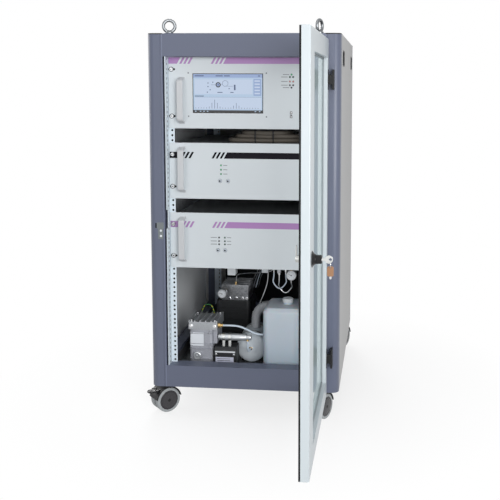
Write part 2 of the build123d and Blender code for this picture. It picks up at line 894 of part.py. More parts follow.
def latch_cam():
    """A tongue that points up when the door is free and turns outwards into the post's groove."""
    x_span = (from_door_face(-cam_depth - cam_thickness), from_door_face(-cam_depth))
    hub = Plane(origin=(x_span[0], lock_y(), lock_height), z_dir=(1, 0, 0)) * RegularPolygon(cam_hub_radius, 12)
    cam = extrude(hub, cam_thickness) + block(x_span, (lock_y() - cam_width / 2, lock_y() + cam_width / 2),
                 (lock_height, lock_height + cam_reach))
    return (cam - lock_rod(-cam_depth - 2 * cam_thickness, -cam_depth + 1, cam_stud_radius + running_gap)).solids()


def key_plate(outline_points_x, width, y, z):
    """A flat key part in the XZ plane."""
    return block(outline_points_x, (y - key_thickness / 2, y + key_thickness / 2), (z - width / 2, z + width / 2))


def bow_x():
    return from_door_face(knob_reach + key_neck + key_bow_radius)


def door_key():
    """The key in the lock, with the plug that turns with it."""
    start = knob_reach - plug_depth + knob_gap
    key = lock_rod(start, knob_reach, plug_radius)
    key += key_plate((from_door_face(knob_reach - 1), bow_x()), 1.6 * plug_radius, lock_y(), lock_height)
    key += rod((bow_x(), lock_y() - key_thickness / 2, lock_height), (0, 1, 0), key_bow_radius, key_thickness)
    key -= rod((ring_x(), lock_y() - key_thickness, lock_height), (0, 1, 0), key_hole_radius, 2 * key_thickness)
    return key.solids()


def ring_x():
    return bow_x() + key_bow_radius - key_hole_radius - 2.5


def ring_top():
    """The height of the ring's wire where it lies on the lower edge of the key's hole."""
    return lock_height - key_hole_radius + ring_wire + 0.3


def hanging_tag(width, length, thickness, y):
    """A flat piece that hangs from the bottom of the ring by a hole near its top."""
    hole_z = ring_top() - 2 * ring_radius
    top = hole_z + tag_hole_radius + 2.5
    tag = block((ring_x() - width / 2, ring_x() + width / 2), (y - thickness / 2, y + thickness / 2),
                (top - length, top))
    tag = chamfer(tag.edges().filter_by(Axis.Y), min(0.3 * width, 4))
    hole = Plane(origin=(ring_x(), y, hole_z), z_dir=(0, 1, 0)) * RegularPolygon(tag_hole_radius, 8)
    return tag - extrude(hole, thickness, both=True)


def key_ring():
    """The ring in the key's hole, with a fob and a spare key."""
    middle = (ring_x(), lock_y(), ring_top() - ring_radius)
    flat = RegularPolygon(ring_radius + ring_wire, ring_sides) - RegularPolygon(ring_radius - ring_wire, ring_sides)
    flat = Plane(origin=middle, x_dir=(0, 0, 1), z_dir=(1, 0, 0)) * flat
    ring = extrude(flat, 0.7 * ring_wire, both=True)
    fob = hanging_tag(fob_width, fob_length, fob_thickness, lock_y() + fob_thickness / 2 + 0.3)
    spare = hanging_tag(8, spare_key_length, key_thickness, lock_y() - key_thickness / 2 - 0.3)
    spare_bow = hanging_tag(18, 17, key_thickness, lock_y() - key_thickness / 2 - 0.3)
    return ring.solids() + fob.solids() + (spare + spare_bow).solids()


# ---------------------------------------------------------------- casters

def caster_place(name):
    side = -1 if name.endswith("left") else 1
    end = -1 if name.startswith("front") else 1
    return side * (half_width - caster_inset_x), end * (back - caster_inset_y)


def placed_caster(name, shape):
    x, y = caster_place(name)
    return (Pos(x, y, 0) * Rot(0, 0, caster_headings[name]) * shape).solids()


def caster_plates():
    plates = []
    for name in caster_headings:
        x, y = caster_place(name)
        under = floor_gap - caster_plate_thickness
        plate = Pos(x, y, under) * Box(caster_plate_size, caster_plate_size, caster_plate_thickness, align=low)
        plate = chamfer(plate.edges().filter_by(Axis.Z), 6)
        plate += rod((x, y, under), (0, 0, -1), kingpin_radius, kingpin_length)
        plates += plate.solids()
    return plates


def axle_plane():
    """The plane through the wheel's centre in which the caster's side outlines are drawn."""
    return Plane(origin=(caster_trail, 0, wheel_radius), x_dir=(1, 0, 0), z_dir=(0, -1, 0))


def caster_housing(name):
    """The swivelling fork: a hood over both wheels, the web between them and the bearing boss."""
    inner = wheel_radius + hood_gap
    outer = inner + hood_wall
    upper_half = patch((-2 * outer, 2 * outer), (hood_lift, 2 * outer))
    hood = extrude(axle_plane() * ((Circle(outer) - Circle(inner)) & upper_half), hood_half_width, both=True)
    web = (Circle(inner + 1) & upper_half) + Circle(web_hub_radius)
    housing = hood + extrude(axle_plane() * web, web_half_width, both=True)
    boss_top = floor_gap - caster_plate_thickness - knob_gap
    housing += Pos(0, 0, boss_top - boss_height) * extrude(RegularPolygon(boss_radius, 8), boss_height)
    housing += block((-2, boss_radius), (-web_half_width, web_half_width), (boss_top - 2 * boss_height, boss_top - 2))
    housing -= Pos(0, 0, boss_top - kingpin_length - 1) * Cylinder(
        kingpin_radius + running_gap, kingpin_length + 2, align=low)
    housing -= rod((caster_trail, -2 * web_half_width, wheel_radius), (0, 1, 0),
                   axle_radius + running_gap, 4 * web_half_width)
    if name in braked_casters:
        for side in (-1, 1):
            near = side * (pedal_half_width + knob_gap)
            far = side * (pedal_half_width + knob_gap + pedal_ear)
            ear = block((pedal_x - 3.8 * pedal_barrel_radius, pedal_x + pedal_barrel_radius), (near, far),
                        (pedal_z - pedal_barrel_radius, pedal_z + pedal_barrel_radius))
            housing += ear - extrude(axle_plane() * Circle(inner), 2 * hood_half_width, both=True)
            housing -= rod((pedal_x, 0, pedal_z), (0, side, 0), pedal_pin_radius + running_gap,
                           pedal_half_width + 2 * pedal_ear)
    return placed_caster(name, housing)


def wheel_half():
    """One wheel as a turned profile: a tyre with a chamfered shoulder and a raised disc."""
    outline = Polyline((0, wheel_inner), (wheel_radius, wheel_inner), (wheel_radius, wheel_outer - wheel_edge),
                       (wheel_radius - wheel_edge, wheel_outer), (tyre_inner_radius, wheel_outer),
                       (0.7 * tyre_inner_radius, wheel_outer + wheel_dome), (0, wheel_outer + wheel_dome),
                       close=True)
    return revolve(make_face(outline), Axis.Y)


def caster_wheels(name):
    """Two wheels on one axle."""
    wheel = wheel_half()
    pair = wheel + mirror(wheel, about=Plane.XZ)
    pair += rod((0, -wheel_inner - 1, 0), (0, 1, 0), axle_radius, 2 * wheel_inner + 2)
    return placed_caster(name, Pos(caster_trail, 0, wheel_radius) * pair)


def brake_pedal(name):
    """The foot lever behind the wheels, on its own pin."""
    reach = pedal_half_width + knob_gap + pedal_ear
    side = Plane(origin=(pedal_x, 0, pedal_z), z_dir=(0, 1, 0))
    pedal = extrude(side * RegularPolygon(pedal_barrel_radius, 8), pedal_half_width, both=True)
    pedal += extrude(side * RegularPolygon(pedal_pin_radius, 12), reach, both=True)
    tongue = block((pedal_x, pedal_x + pedal_length), (-pedal_half_width, pedal_half_width),
                   (pedal_z - pedal_thickness / 2, pedal_z + pedal_thickness / 2))
    tongue = chamfer(tongue.edges().filter_by(Axis.Z).group_by(Axis.X)[-1], 6)
    return placed_caster(name, pedal + tongue)


# ---------------------------------------------------------------- supply bay

def compressor_body():
    body = block((compressor_x, compressor_x + compressor_width),
                 (front + compressor_y, front + compressor_y + compressor_depth),
                 (base_top, base_top + compressor_height))
    body = fillet(body.edges().filter_by(Axis.Z), 8)
    side = compressor_x + compressor_width
    body += block((side - 4, side + head_port_side - head_overhang),
                  (front + compressor_y + 12, front + compressor_y + compressor_depth - 12),
                  (base_top + control_height + 6, base_top + compressor_height))
    centre_x = compressor_x + 0.35 * compressor_width
    cover = rod((centre_x, front + compressor_y + 4, base_top + crank_cover_height), (0, -1, 0),
                crank_cover_radius, 8)
    return (body + cover).solids()


def compressor_head():
    """The finned cylinder head, with lengthwise cooling fins."""
    x_span = (compressor_x - head_overhang, compressor_x + compressor_width + head_port_side)
    y_span = (front + compressor_y - head_overhang, front + compressor_y + compressor_depth + head_overhang)
    foot = base_top + compressor_height
    head = block(x_span, y_span, (foot, foot + head_height))
    pitch = (x_span[1] - x_span[0] - fin_thickness) / (fin_count - 1)
    for step in range(fin_count):
        x = x_span[0] + step * pitch
        head += block((x, x + fin_thickness), y_span, (foot + head_height, foot + head_height + fin_height))
    return head.solids()


def control_box():
    box = block((control_x, control_x + control_width), (front + control_y, front + control_y + control_depth),
                (base_top, base_top + control_height))
    return chamfer(box.edges().filter_by(Axis.X).group_by(Axis.Z)[-1].group_by(Axis.Y)[0], 10).solids()


def filter_cylinder():
    """A turned filter housing with a raised band and a drain port, in two clamps that stand on the control box."""
    y = front + filter_y
    z = base_top + filter_height
    body = rod((filter_x, y, z), (1, 0, 0), filter_radius - filter_band, filter_length)
    body += rod((filter_x + filter_band_start, y, z), (1, 0, 0), filter_radius, filter_band_length)
    port = (reservoir_x, y, z - filter_radius - filter_port)
    body += extrude(Plane(origin=port, z_dir=(0, 0, 1)) * RegularPolygon(2 * drain_radius, 6), filter_radius)
    for start in (14, 34):
        foot = block((filter_x + start, filter_x + start + 8), (y - 6, y + 6),
                     (base_top + control_height, z))
        body += foot
    return body.solids()


def reservoir_ports():
    """Where the vent duct and the short gas line stand on the tank."""
    duct_y = front + canister_y + canister_depth + 2 * duct_radius
    return ((reservoir_x + 4, duct_y), (reservoir_x, front + reservoir_y + 0.75 * reservoir_length))


def air_reservoir():
    """A domed steel tank that lies on two saddles, its axis from front to back."""
    centre_z = base_top + reservoir_radius + reservoir_clear
    start = front + reservoir_y
    dome = 0.3 * reservoir_radius
    profile = Polyline((0, 0), (0.6 * reservoir_radius, 0), (reservoir_radius, dome),
                       (reservoir_radius, reservoir_length - dome), (0.6 * reservoir_radius, reservoir_length),
                       (0, reservoir_length), close=True)
    tank = Pos(reservoir_x, start, centre_z) * revolve(make_face(profile), Axis.Y)
    for y in (start + 0.2 * reservoir_length, start + 0.7 * reservoir_length):
        tank += block((reservoir_x - 0.7 * reservoir_radius, reservoir_x + 0.7 * reservoir_radius),
                      (y, y + 12), (base_top, centre_z - 0.55 * reservoir_radius))
    for x, y in reservoir_ports():
        port = Plane(origin=(x, y, centre_z), z_dir=(0, 0, 1)) * RegularPolygon(1.4 * duct_radius, 8)
        tank += extrude(port, reservoir_radius + filter_port)
    return tank.solids()


def water_canister():
    """A blow-moulded can, shown full, and its screw cap."""
    x_span = (canister_x, canister_x + canister_width)
    y_span = (front + canister_y, front + canister_y + canister_depth)
    top = base_top + canister_height
    can = block(x_span, y_span, (base_top, top))
    can = fillet(can.edges().filter_by(Axis.Z), canister_corner)
    can = chamfer(can.faces().sort_by(Axis.Z)[-1].edges(), canister_shoulder)
    neck = (canister_x + 0.52 * canister_width, front + canister_y + 0.5 * canister_depth)
    can += rod((neck[0], neck[1], top - 1), (0, 0, 1), canister_neck_radius, canister_neck_height + 1)
    cap = rod((neck[0], neck[1], top + canister_neck_height), (0, 0, 1), canister_cap_radius, canister_cap_height)
    return can.solids() + cap.solids()


def rear_compressor():
    """The larger pump at the back: a closed housing and its bright finned head."""
    y_span = (front + pump_y, front + pump_y + pump_depth)
    housing = block((pump_x, pump_x + pump_width), y_span, (base_top, base_top + pump_height))
    housing = fillet(housing.edges().filter_by(Axis.Z), 14)
    head_y = (y_span[0] + pump_head_inset, y_span[1] - pump_head_inset)
    foot = base_top + pump_height
    x_span = (pump_head_x, pump_head_x + pump_head_width)
    head = block(x_span, head_y, (foot, foot + 0.5 * pump_head_height))
    for step in range(5):
        y = head_y[0] + step * (head_y[1] - head_y[0] - fin_thickness) / 4
        head += block(x_span, (y, y + fin_thickness), (foot + 0.4 * pump_head_height, foot + pump_head_height))
    return housing.solids() + head.solids()


def pressure_gauges():
    """One gauge on the rear pump's head, and one below the lowest unit."""
    z = base_top + gauge_low_height
    face = front + pump_y + pump_head_inset - gauge_low_stem
    gauge = rod((gauge_low_x, face - gauge_depth, z), (0, 1, 0), gauge_radius, gauge_depth)
    stem = RegularPolygon(gauge_stem_radius, 6)
    gauge += extrude(Plane(origin=(gauge_low_x, face, z), z_dir=(0, 1, 0)) * stem, gauge_low_stem)
    hung_z = lower_foot + chassis_rise - gauge_high_drop
    y = front + gauge_high_y
    hung = rod((gauge_high_x, y - gauge_depth / 2, hung_z), (0, 1, 0), gauge_radius, gauge_depth)
    hung += extrude(Pos(gauge_high_x, y, hung_z) * stem, gauge_high_drop)
    return gauge.solids() + hung.solids()


def tubing():
    """The air hose with its brass elbow, the drain, the steel gas lines, the vent duct and an earth wire."""
    head_side = compressor_x + compressor_width + head_port_side
    hose_y = front + filter_y
    fitting = rod((head_side, hose_y, base_top + head_port_height), (1, 0, 0), 8, 8)
    fitting += rod((head_side + 8, hose_y, base_top + head_port_height), (1, 0, 0), 5.5, 9)
    hose = tube_along([(head_side + 17, hose_y, base_top + head_port_height), (-30, hose_y, base_top + head_port_height),
                       (20, hose_y, base_top + 118), (canister_x, hose_y, base_top + 118)], hose_radius)
    filter_bottom = base_top + filter_height - filter_radius - filter_port
    tank_front = front + reservoir_y
    tank_z = base_top + reservoir_radius + reservoir_clear
    drain = tube_along([(reservoir_x, hose_y, filter_bottom), (reservoir_x, hose_y, filter_bottom - 28),
                        (reservoir_x, tank_front - 24, tank_z), (reservoir_x, tank_front, tank_z)], drain_radius)
    pump_top = base_top + pump_height + pump_head_height
    line_y = front + pump_y + pump_head_inset + 2
    unit_bottom = lower_foot + chassis_rise
    long_line = tube_along([(-95, line_y, pump_top), (-95, line_y, pump_top + 40), (40, line_y - 40, pump_top + 60),
                            (62, line_y - 45, pump_top + 100), (62, line_y - 45, unit_bottom)],
                           steel_line_radius)
    tank_top = tank_z + reservoir_radius + filter_port
    (duct_x, duct_y), (short_x, short_y) = reservoir_ports()
    short_line = tube_along([(short_x, short_y, tank_top), (short_x, short_y, tank_top + 40),
                             (short_x + 44, short_y, tank_top + 150), (short_x + 44, short_y, unit_bottom)],
                            steel_line_radius)
    duct = tube_along([(duct_x, duct_y, tank_top), (duct_x, duct_y, tank_top + 44),
                       (duct_x + 6, duct_y, tank_top + 86), (duct_x + 36, duct_y, tank_top + 118),
                       (duct_x + 78, duct_y, tank_top + 118), (duct_x + 108, duct_y, tank_top + 86),
                       (duct_x + 114, duct_y, tank_top + 44), (duct_x + 114, duct_y, base_top)], duct_radius)
    head_back = front + compressor_y + compressor_depth + head_overhang
    wire_z = base_top + compressor_height + 12
    wire = tube_along([(-190, head_back, wire_z), (-190, head_back + 34, wire_z),
                       (-182, head_back + 38, wire_z + 60), (-150, head_back + 38, wire_z + 60),
                       (-142, head_back + 34, wire_z), (-142, head_back, wire_z)], wire_radius)
    pieces = [fitting, hose, drain, long_line, short_line, duct, wire]
    return [solid for piece in pieces for solid in piece.solids()]


nodes = {
    "corner_posts": corner_posts(),
    "corner_caps": corner_caps(),
    "front_crossbars": front_crossbars(),
    "frame_beams": frame_beams(),
    "base_plate": base_plate(),
    "roof_panel": roof_panel(),
    "side_panels": side_panels(),
    "rear_panel": rear_panel(),
    "lifting_eyebolts": lifting_eyebolts(),
    "front_rack_rails": front_rack_rails(),
    "rear_rack_rails": rear_rack_rails(),
    "chassis_supports": chassis_supports(),
    "hinge_brackets": hinge_brackets(),
    "upper_unit_panel": upper_unit_panel(),
    "upper_unit_chassis": chassis(upper_foot, upper_units, upper_depth),
    "touch_screen": touch_screen(),
    "generator_panel": generator_panel(),
    "generator_chassis": chassis(generator_foot, generator_units, generator_depth),
    "lower_unit_panel": lower_unit_panel(),
    "lower_unit_chassis": chassis(lower_foot, lower_units, lower_depth),
    "panel_handles": panel_handles(),
    "indicator_lamps": indicator_lamps(),
    "generator_button_left": push_button(generator_foot, generator_buttons[0]),
    "generator_button_right": push_button(generator_foot, generator_buttons[1]),
    "lower_button_left": push_button(lower_foot, lower_buttons[0]),
    "lower_button_right": push_button(lower_foot, lower_buttons[1]),
    "column_ovens": column_ovens(),
    "capillary_columns": capillary_columns(),
    "detectors": detectors(),
    "electronics_boards": electronics_boards(),
    "electrolysis_stack": electrolysis_stack(),
    "door_frame": door_frame(),
    "door_glass": door_glass(),
    "door_gasket": door_gasket(),
    "door_hinge_leaves": door_hinge_leaves(),
    "latch_rosette": latch_rosette(),
    "latch_knob": latch_knob(),
    "latch_cam": latch_cam(),
    "door_key": door_key(),
    "key_ring": key_ring(),
    "caster_plates": caster_plates(),
    "compressor_body": compressor_body(),
    "compressor_head": compressor_head(),
    "rear_compressor": rear_compressor(),
    "air_reservoir": air_reservoir(),
    "control_box": control_box(),
    "filter_cylinder": filter_cylinder(),
    "water_canister": water_canister(),
    "pressure_gauges": pressure_gauges(),
    "tubing": tubing(),
}
for caster in caster_headings:
    nodes["caster_housing_" + caster] = caster_housing(caster)
    nodes["caster_wheels_" + caster] = caster_wheels(caster)
for caster in braked_casters:
    nodes["brake_pedal_" + caster] = brake_pedal(caster)

os.makedirs("parts", exist_ok=True)
for name, solids in nodes.items():
    export_step(Compound(children=list(solids)), "parts/" + name + ".step")
print(len(nodes), "nodes")
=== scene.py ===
"""Finishes, fittings, stage and camera for a gas chromatograph in a rack cabinet.

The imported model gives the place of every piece. Each operator dresses or adds one group of pieces.
Sizes in the functions are millimetres; finished meshes are in metres, like the frame.
"""
import json
import math
from math import cos, pi, radians, sin

import bmesh
import bpy
from bpy.props import FloatProperty, FloatVectorProperty, PointerProperty
from mathutils import Matrix, Vector


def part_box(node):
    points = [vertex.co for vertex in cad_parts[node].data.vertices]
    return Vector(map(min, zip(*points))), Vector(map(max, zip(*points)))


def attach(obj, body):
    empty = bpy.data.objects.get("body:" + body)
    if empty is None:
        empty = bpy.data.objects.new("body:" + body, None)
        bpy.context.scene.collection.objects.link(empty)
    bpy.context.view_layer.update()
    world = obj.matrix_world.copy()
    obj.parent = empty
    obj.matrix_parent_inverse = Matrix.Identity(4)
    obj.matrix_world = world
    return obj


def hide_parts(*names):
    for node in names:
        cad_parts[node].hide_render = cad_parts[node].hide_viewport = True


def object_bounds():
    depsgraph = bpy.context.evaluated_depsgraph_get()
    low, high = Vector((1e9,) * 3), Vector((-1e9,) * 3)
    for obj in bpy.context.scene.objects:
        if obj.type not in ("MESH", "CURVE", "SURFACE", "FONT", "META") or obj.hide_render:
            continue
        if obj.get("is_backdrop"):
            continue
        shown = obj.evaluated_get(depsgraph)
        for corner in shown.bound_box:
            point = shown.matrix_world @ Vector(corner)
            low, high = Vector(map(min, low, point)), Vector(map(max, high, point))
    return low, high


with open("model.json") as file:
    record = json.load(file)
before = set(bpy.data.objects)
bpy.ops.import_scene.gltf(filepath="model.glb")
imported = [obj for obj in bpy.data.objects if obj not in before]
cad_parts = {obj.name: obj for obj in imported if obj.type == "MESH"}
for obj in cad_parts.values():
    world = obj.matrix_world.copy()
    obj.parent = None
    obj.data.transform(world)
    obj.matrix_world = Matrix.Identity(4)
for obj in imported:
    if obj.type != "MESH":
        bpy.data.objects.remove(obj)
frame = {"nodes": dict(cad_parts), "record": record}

bl_info = {
    "name": "Chromatograph Rack Finisher",
    "version": (1, 0, 0),
    "blender": (4, 5, 0),
    "location": "3D View > Sidebar > Rack",
    "description": "Dresses a packed rack cabinet with finishes and small fittings",
    "category": "Object",
}

MM = 0.001
WELD = 2e-6
POLE = 1e-6
FLAT_ANGLE = radians(0.8)
EDGE_ANGLE = radians(28)
SMOOTH_ANGLE = radians(38)
FRONT, BACK, UP, DOWN, RIGHT = (0, -1, 0), (0, 1, 0), (0, 0, 1), (0, 0, -1), (1, 0, 0)

CAD_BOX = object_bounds()


def span(node):
    """Lowest and highest corner of a node, in millimetres."""
    low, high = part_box(node)
    return low / MM, high / MM


# ------------------------------------------------------------------ shader maths

class Signal:
    """A number that changes over a surface; arithmetic on it adds Math nodes."""

    def __init__(self, bench, socket):
        self.bench = bench
        self.socket = socket

    def _math(self, operation, first, second):
        node = self.bench.add("ShaderNodeMath", {"operation": operation}, {0: first, 1: second})
        return Signal(self.bench, node.outputs[0])

    def __add__(self, other):
        return self._math("ADD", self, other)

    def __radd__(self, other):
        return self._math("ADD", other, self)

    def __sub__(self, other):
        return self._math("SUBTRACT", self, other)

    def __rsub__(self, other):
        return self._math("SUBTRACT", other, self)

    def __mul__(self, other):
        return self._math("MULTIPLY", self, other)

    def __rmul__(self, other):
        return self._math("MULTIPLY", other, self)


class Bench:
    """The node tree of one finish, around one Principled shader."""

    def __init__(self, name, **uniform):
        self.material = bpy.data.materials.new(name)
        self.material.use_nodes = True
        self.nodes = self.material.node_tree.nodes
        self.links = self.material.node_tree.links
        self.nodes.clear()
        self.shader = self.add("ShaderNodeBsdfPrincipled")
        self.output = self.add("ShaderNodeOutputMaterial")
        self.links.new(self.shader.outputs[0], self.output.inputs["Surface"])
        for socket, value in uniform.items():
            self.shader.inputs[socket.replace("_", " ")].default_value = value
        self.place = self.add("ShaderNodeTexCoord").outputs["Object"]

    def add(self, kind, settings=None, values=None):
        """One node: its settings first, then a value or a link for each socket."""
        node = self.nodes.new(kind)
        for key, value in (settings or {}).items():
            setattr(node, key, value)
        for key, value in (values or {}).items():
            if isinstance(value, Signal):
                value = value.socket
            if isinstance(value, bpy.types.NodeSocket):
                self.links.new(value, node.inputs[key])
            else:
                node.inputs[key].default_value = value
        return node

    def noise(self, scale, detail=3.0, stretch=None, roughness=0.55):
        """Noise with so many features per metre, drawn out along an axis if asked."""
        place = self.place
        if stretch:
            place = self.add("ShaderNodeMapping", None, {"Vector": place, "Scale": stretch}).outputs[0]
        node = self.add("ShaderNodeTexNoise", None,
                        {"Vector": place, "Scale": scale, "Detail": detail, "Roughness": roughness})
        return Signal(self, node.outputs[0])

    def axis(self, letter):
        """One Object coordinate, in metres."""
        node = self.add("ShaderNodeSeparateXYZ", None, {"Vector": self.place})
        return Signal(self, node.outputs[letter])

    def ramp(self, signal, start, end):
        """The signal taken to 0 below start and 1 above end."""
        node = self.add("ShaderNodeMapRange", {"clamp": True},
                        {"Value": signal, "From Min": start, "From Max": end})
        return Signal(self, node.outputs[0])

    def blend(self, factor, first, second):
        """A colour between two, by a signal."""
        node = self.add("ShaderNodeMix", {"data_type": "RGBA"}, {"Factor": factor})
        for number, colour in ((6, first), (7, second)):
            if isinstance(colour, bpy.types.NodeSocket):
                self.links.new(colour, node.inputs[number])
            else:
                node.inputs[number].default_value = (*colour, 1.0)
        return node.outputs[2]

    def mottled(self, signal, colour, spread):
        """A colour that a signal makes lighter or darker by a share of itself."""
        return self.blend(signal, shade(colour, 1 - spread), shade(colour, 1 + spread))

    def drive(self, **sources):
        """Feeds signals and colours to the shader's sockets."""
        for socket, value in sources.items():
            target = self.shader.inputs[socket.replace("_", " ")]
            self.links.new(value.socket if isinstance(value, Signal) else value, target)

    def bump(self, height, depth, strength=1.0):
        """Relief of so many millimetres."""
        node = self.add("ShaderNodeBump", None,
                        {"Height": height, "Distance": depth * MM, "Strength": strength})
        self.drive(Normal=node.outputs[0])


def shade(colour, factor):
    """A colour made lighter or darker."""
    return tuple(min(1.0, channel * factor) for channel in tuple(colour)[:3])


def linear(red, green, blue):
    """A colour given as it looks on a screen, 0 to 255, as the shader wants it."""
    def channel(value):
        value /= 255
        return value / 12.92 if value <= 0.04045 else ((value + 0.055) / 1.055) ** 2.4
    return channel(red), channel(green), channel(blue)


def coated(name, colour, roughness=0.42, peel=0.05, mottle=0.05, speckle=900.0, **uniform):
    """Powder coat or moulded skin: a fine peel, a faint cloudiness and a dusting in the gloss."""
    bench = Bench(name, **uniform)
    fine = bench.noise(speckle, 2.0)
    broad = bench.noise(7.0, 4.0)
    bench.drive(Base_Color=bench.mottled(broad * 0.7 + fine * 0.3, colour, mottle),
                Roughness=roughness - 0.06 + broad * 0.08 + fine * 0.06)
    bench.bump(fine, peel)
    return bench.material


def brushed(name, colour, roughness=0.32, along="x", stripes=700.0, mottle=0.10, depth=0.02, metallic=1.0):
    """Drawn or brushed metal: fine lines along one axis and patches of tarnish."""
    bench = Bench(name, Metallic=metallic)
    stretch = {"x": (0.03, 1, 1), "y": (1, 0.03, 1), "z": (1, 1, 0.03)}[along]
    lines = bench.noise(stripes, 4.0, stretch)
    patches = bench.noise(18.0, 5.0)
    bench.drive(Base_Color=bench.mottled(patches * 0.6 + lines * 0.4, colour, mottle),
                Roughness=roughness - 0.08 + lines * 0.10 + patches * 0.08)
    bench.bump(lines, depth)
    return bench.material


def cast(name, colour, roughness=0.5, grain=420.0, depth=0.25, metallic=0.9, mottle=0.18):
    """Sand-cast or die-cast metal: a granular skin, darker in its pits."""
    bench = Bench(name, Metallic=metallic)
    skin = bench.noise(grain, 6.0, None, 0.65)
    patches = bench.noise(30.0, 3.0)
    bench.drive(Base_Color=bench.mottled(bench.ramp(skin, 0.35, 0.62), colour, mottle),
                Roughness=roughness - 0.05 + patches * 0.12)
    bench.bump(skin, depth, 0.6)
    return bench.material


def glowing(name, colour, strength=1.0):
    """A lit area of the display, with a faint pixel shimmer."""
    bench = Bench(name, Roughness=0.18, Emission_Strength=strength)
    shimmer = bench.noise(350.0, 2.0)
    bench.drive(Emission_Color=bench.mottled(shimmer, colour, 0.03),
                Base_Color=bench.blend(shimmer, shade(colour, 0.10), shade(colour, 0.12)))
    return bench.material


def lens(name, colour, glow):
    """A small translucent lens, brighter in its middle grain."""
    bench = Bench(name, Roughness=0.2, Coat_Weight=0.6, Emission_Strength=glow)
    grain = bench.noise(1500.0, 2.0)
    tone = bench.mottled(grain, colour, 0.15)
    bench.drive(Base_Color=tone, Emission_Color=tone)
    return bench.material


def window_glass():
    """Clear float glass with a pale tint and a very slight waviness; towards grazing angles the pale tint turns
    nearly opaque, a painted reflection.
    """
    bench = Bench("window_glass", Roughness=0.03, IOR=1.5)
    wave = bench.noise(9.0, 2.0)
    along = Signal(bench, bench.add("ShaderNodeLayerWeight", None, {"Blend": 0.5}).outputs["Facing"])
    bench.drive(Base_Color=bench.blend(wave, linear(210, 230, 232), linear(220, 238, 240)),
                # Opacity rises towards grazing angles, so the pale tint paints the reflection there.
                Alpha=bench.ramp(along, 0.6, 0.92) * 0.68 + 0.2)
    bench.bump(wave, 0.02, 0.3)
    return bench.material


def milky_plastic():
    """Blow-moulded polyethylene: translucent and cloudy, darker towards the bottom."""
    bench = Bench("canister_plastic", Subsurface_Weight=0.25, Subsurface_Scale=0.02, IOR=1.5)
    height = bench.ramp(bench.axis("Z"), 0.13, 0.36)
    cloud = bench.noise(11.0, 4.0)
    fine = bench.noise(600.0, 2.0)
    colour = bench.blend(height, linear(176, 192, 204), linear(212, 220, 228))
    bench.drive(Base_Color=bench.blend(cloud * 0.35, colour, linear(168, 182, 196)),
                Roughness=0.34 + cloud * 0.12)
    bench.bump(fine, 0.06)
    return bench.material


def circuit_green():
    """Laminate with a pattern of tracks and pads under the solder mask."""
    bench = Bench("circuit_board", Roughness=0.4, Coat_Weight=0.3)
    tracks = bench.add("ShaderNodeTexBrick", None, {"Vector": bench.place, "Scale": 90.0})
    pattern = bench.blend(Signal(bench, tracks.outputs["Fac"]), linear(20, 92, 52), linear(46, 130, 78))
    bench.drive(Base_Color=pattern)
    return bench.material


def column_winding():
    """Close turns of coated silica tube on a cage."""
    bench = Bench("column_winding", Coat_Weight=0.5)
    wave = bench.add("ShaderNodeTexWave", {"bands_direction": "Z"}, {"Vector": bench.place, "Scale": 420.0})
    turn = Signal(bench, wave.outputs["Fac"])
    bench.drive(Base_Color=bench.blend(turn, linear(96, 60, 30), linear(176, 124, 66)), Roughness=0.25 + turn * 0.2)
    bench.bump(turn, 0.4)
    return bench.material


def striped_wire():
    """Earth wire: yellow with green bands along it."""
    bench = Bench("earth_wire", Roughness=0.45)
    wave = bench.add("ShaderNodeTexWave", {"bands_direction": "Z"}, {"Vector": bench.place, "Scale": 28.0})
    band = bench.ramp(Signal(bench, wave.outputs["Fac"]), 0.45, 0.55)
    bench.drive(Base_Color=bench.blend(band, linear(196, 190, 54), linear(52, 118, 58)))
    return bench.material


FINISHES = {}


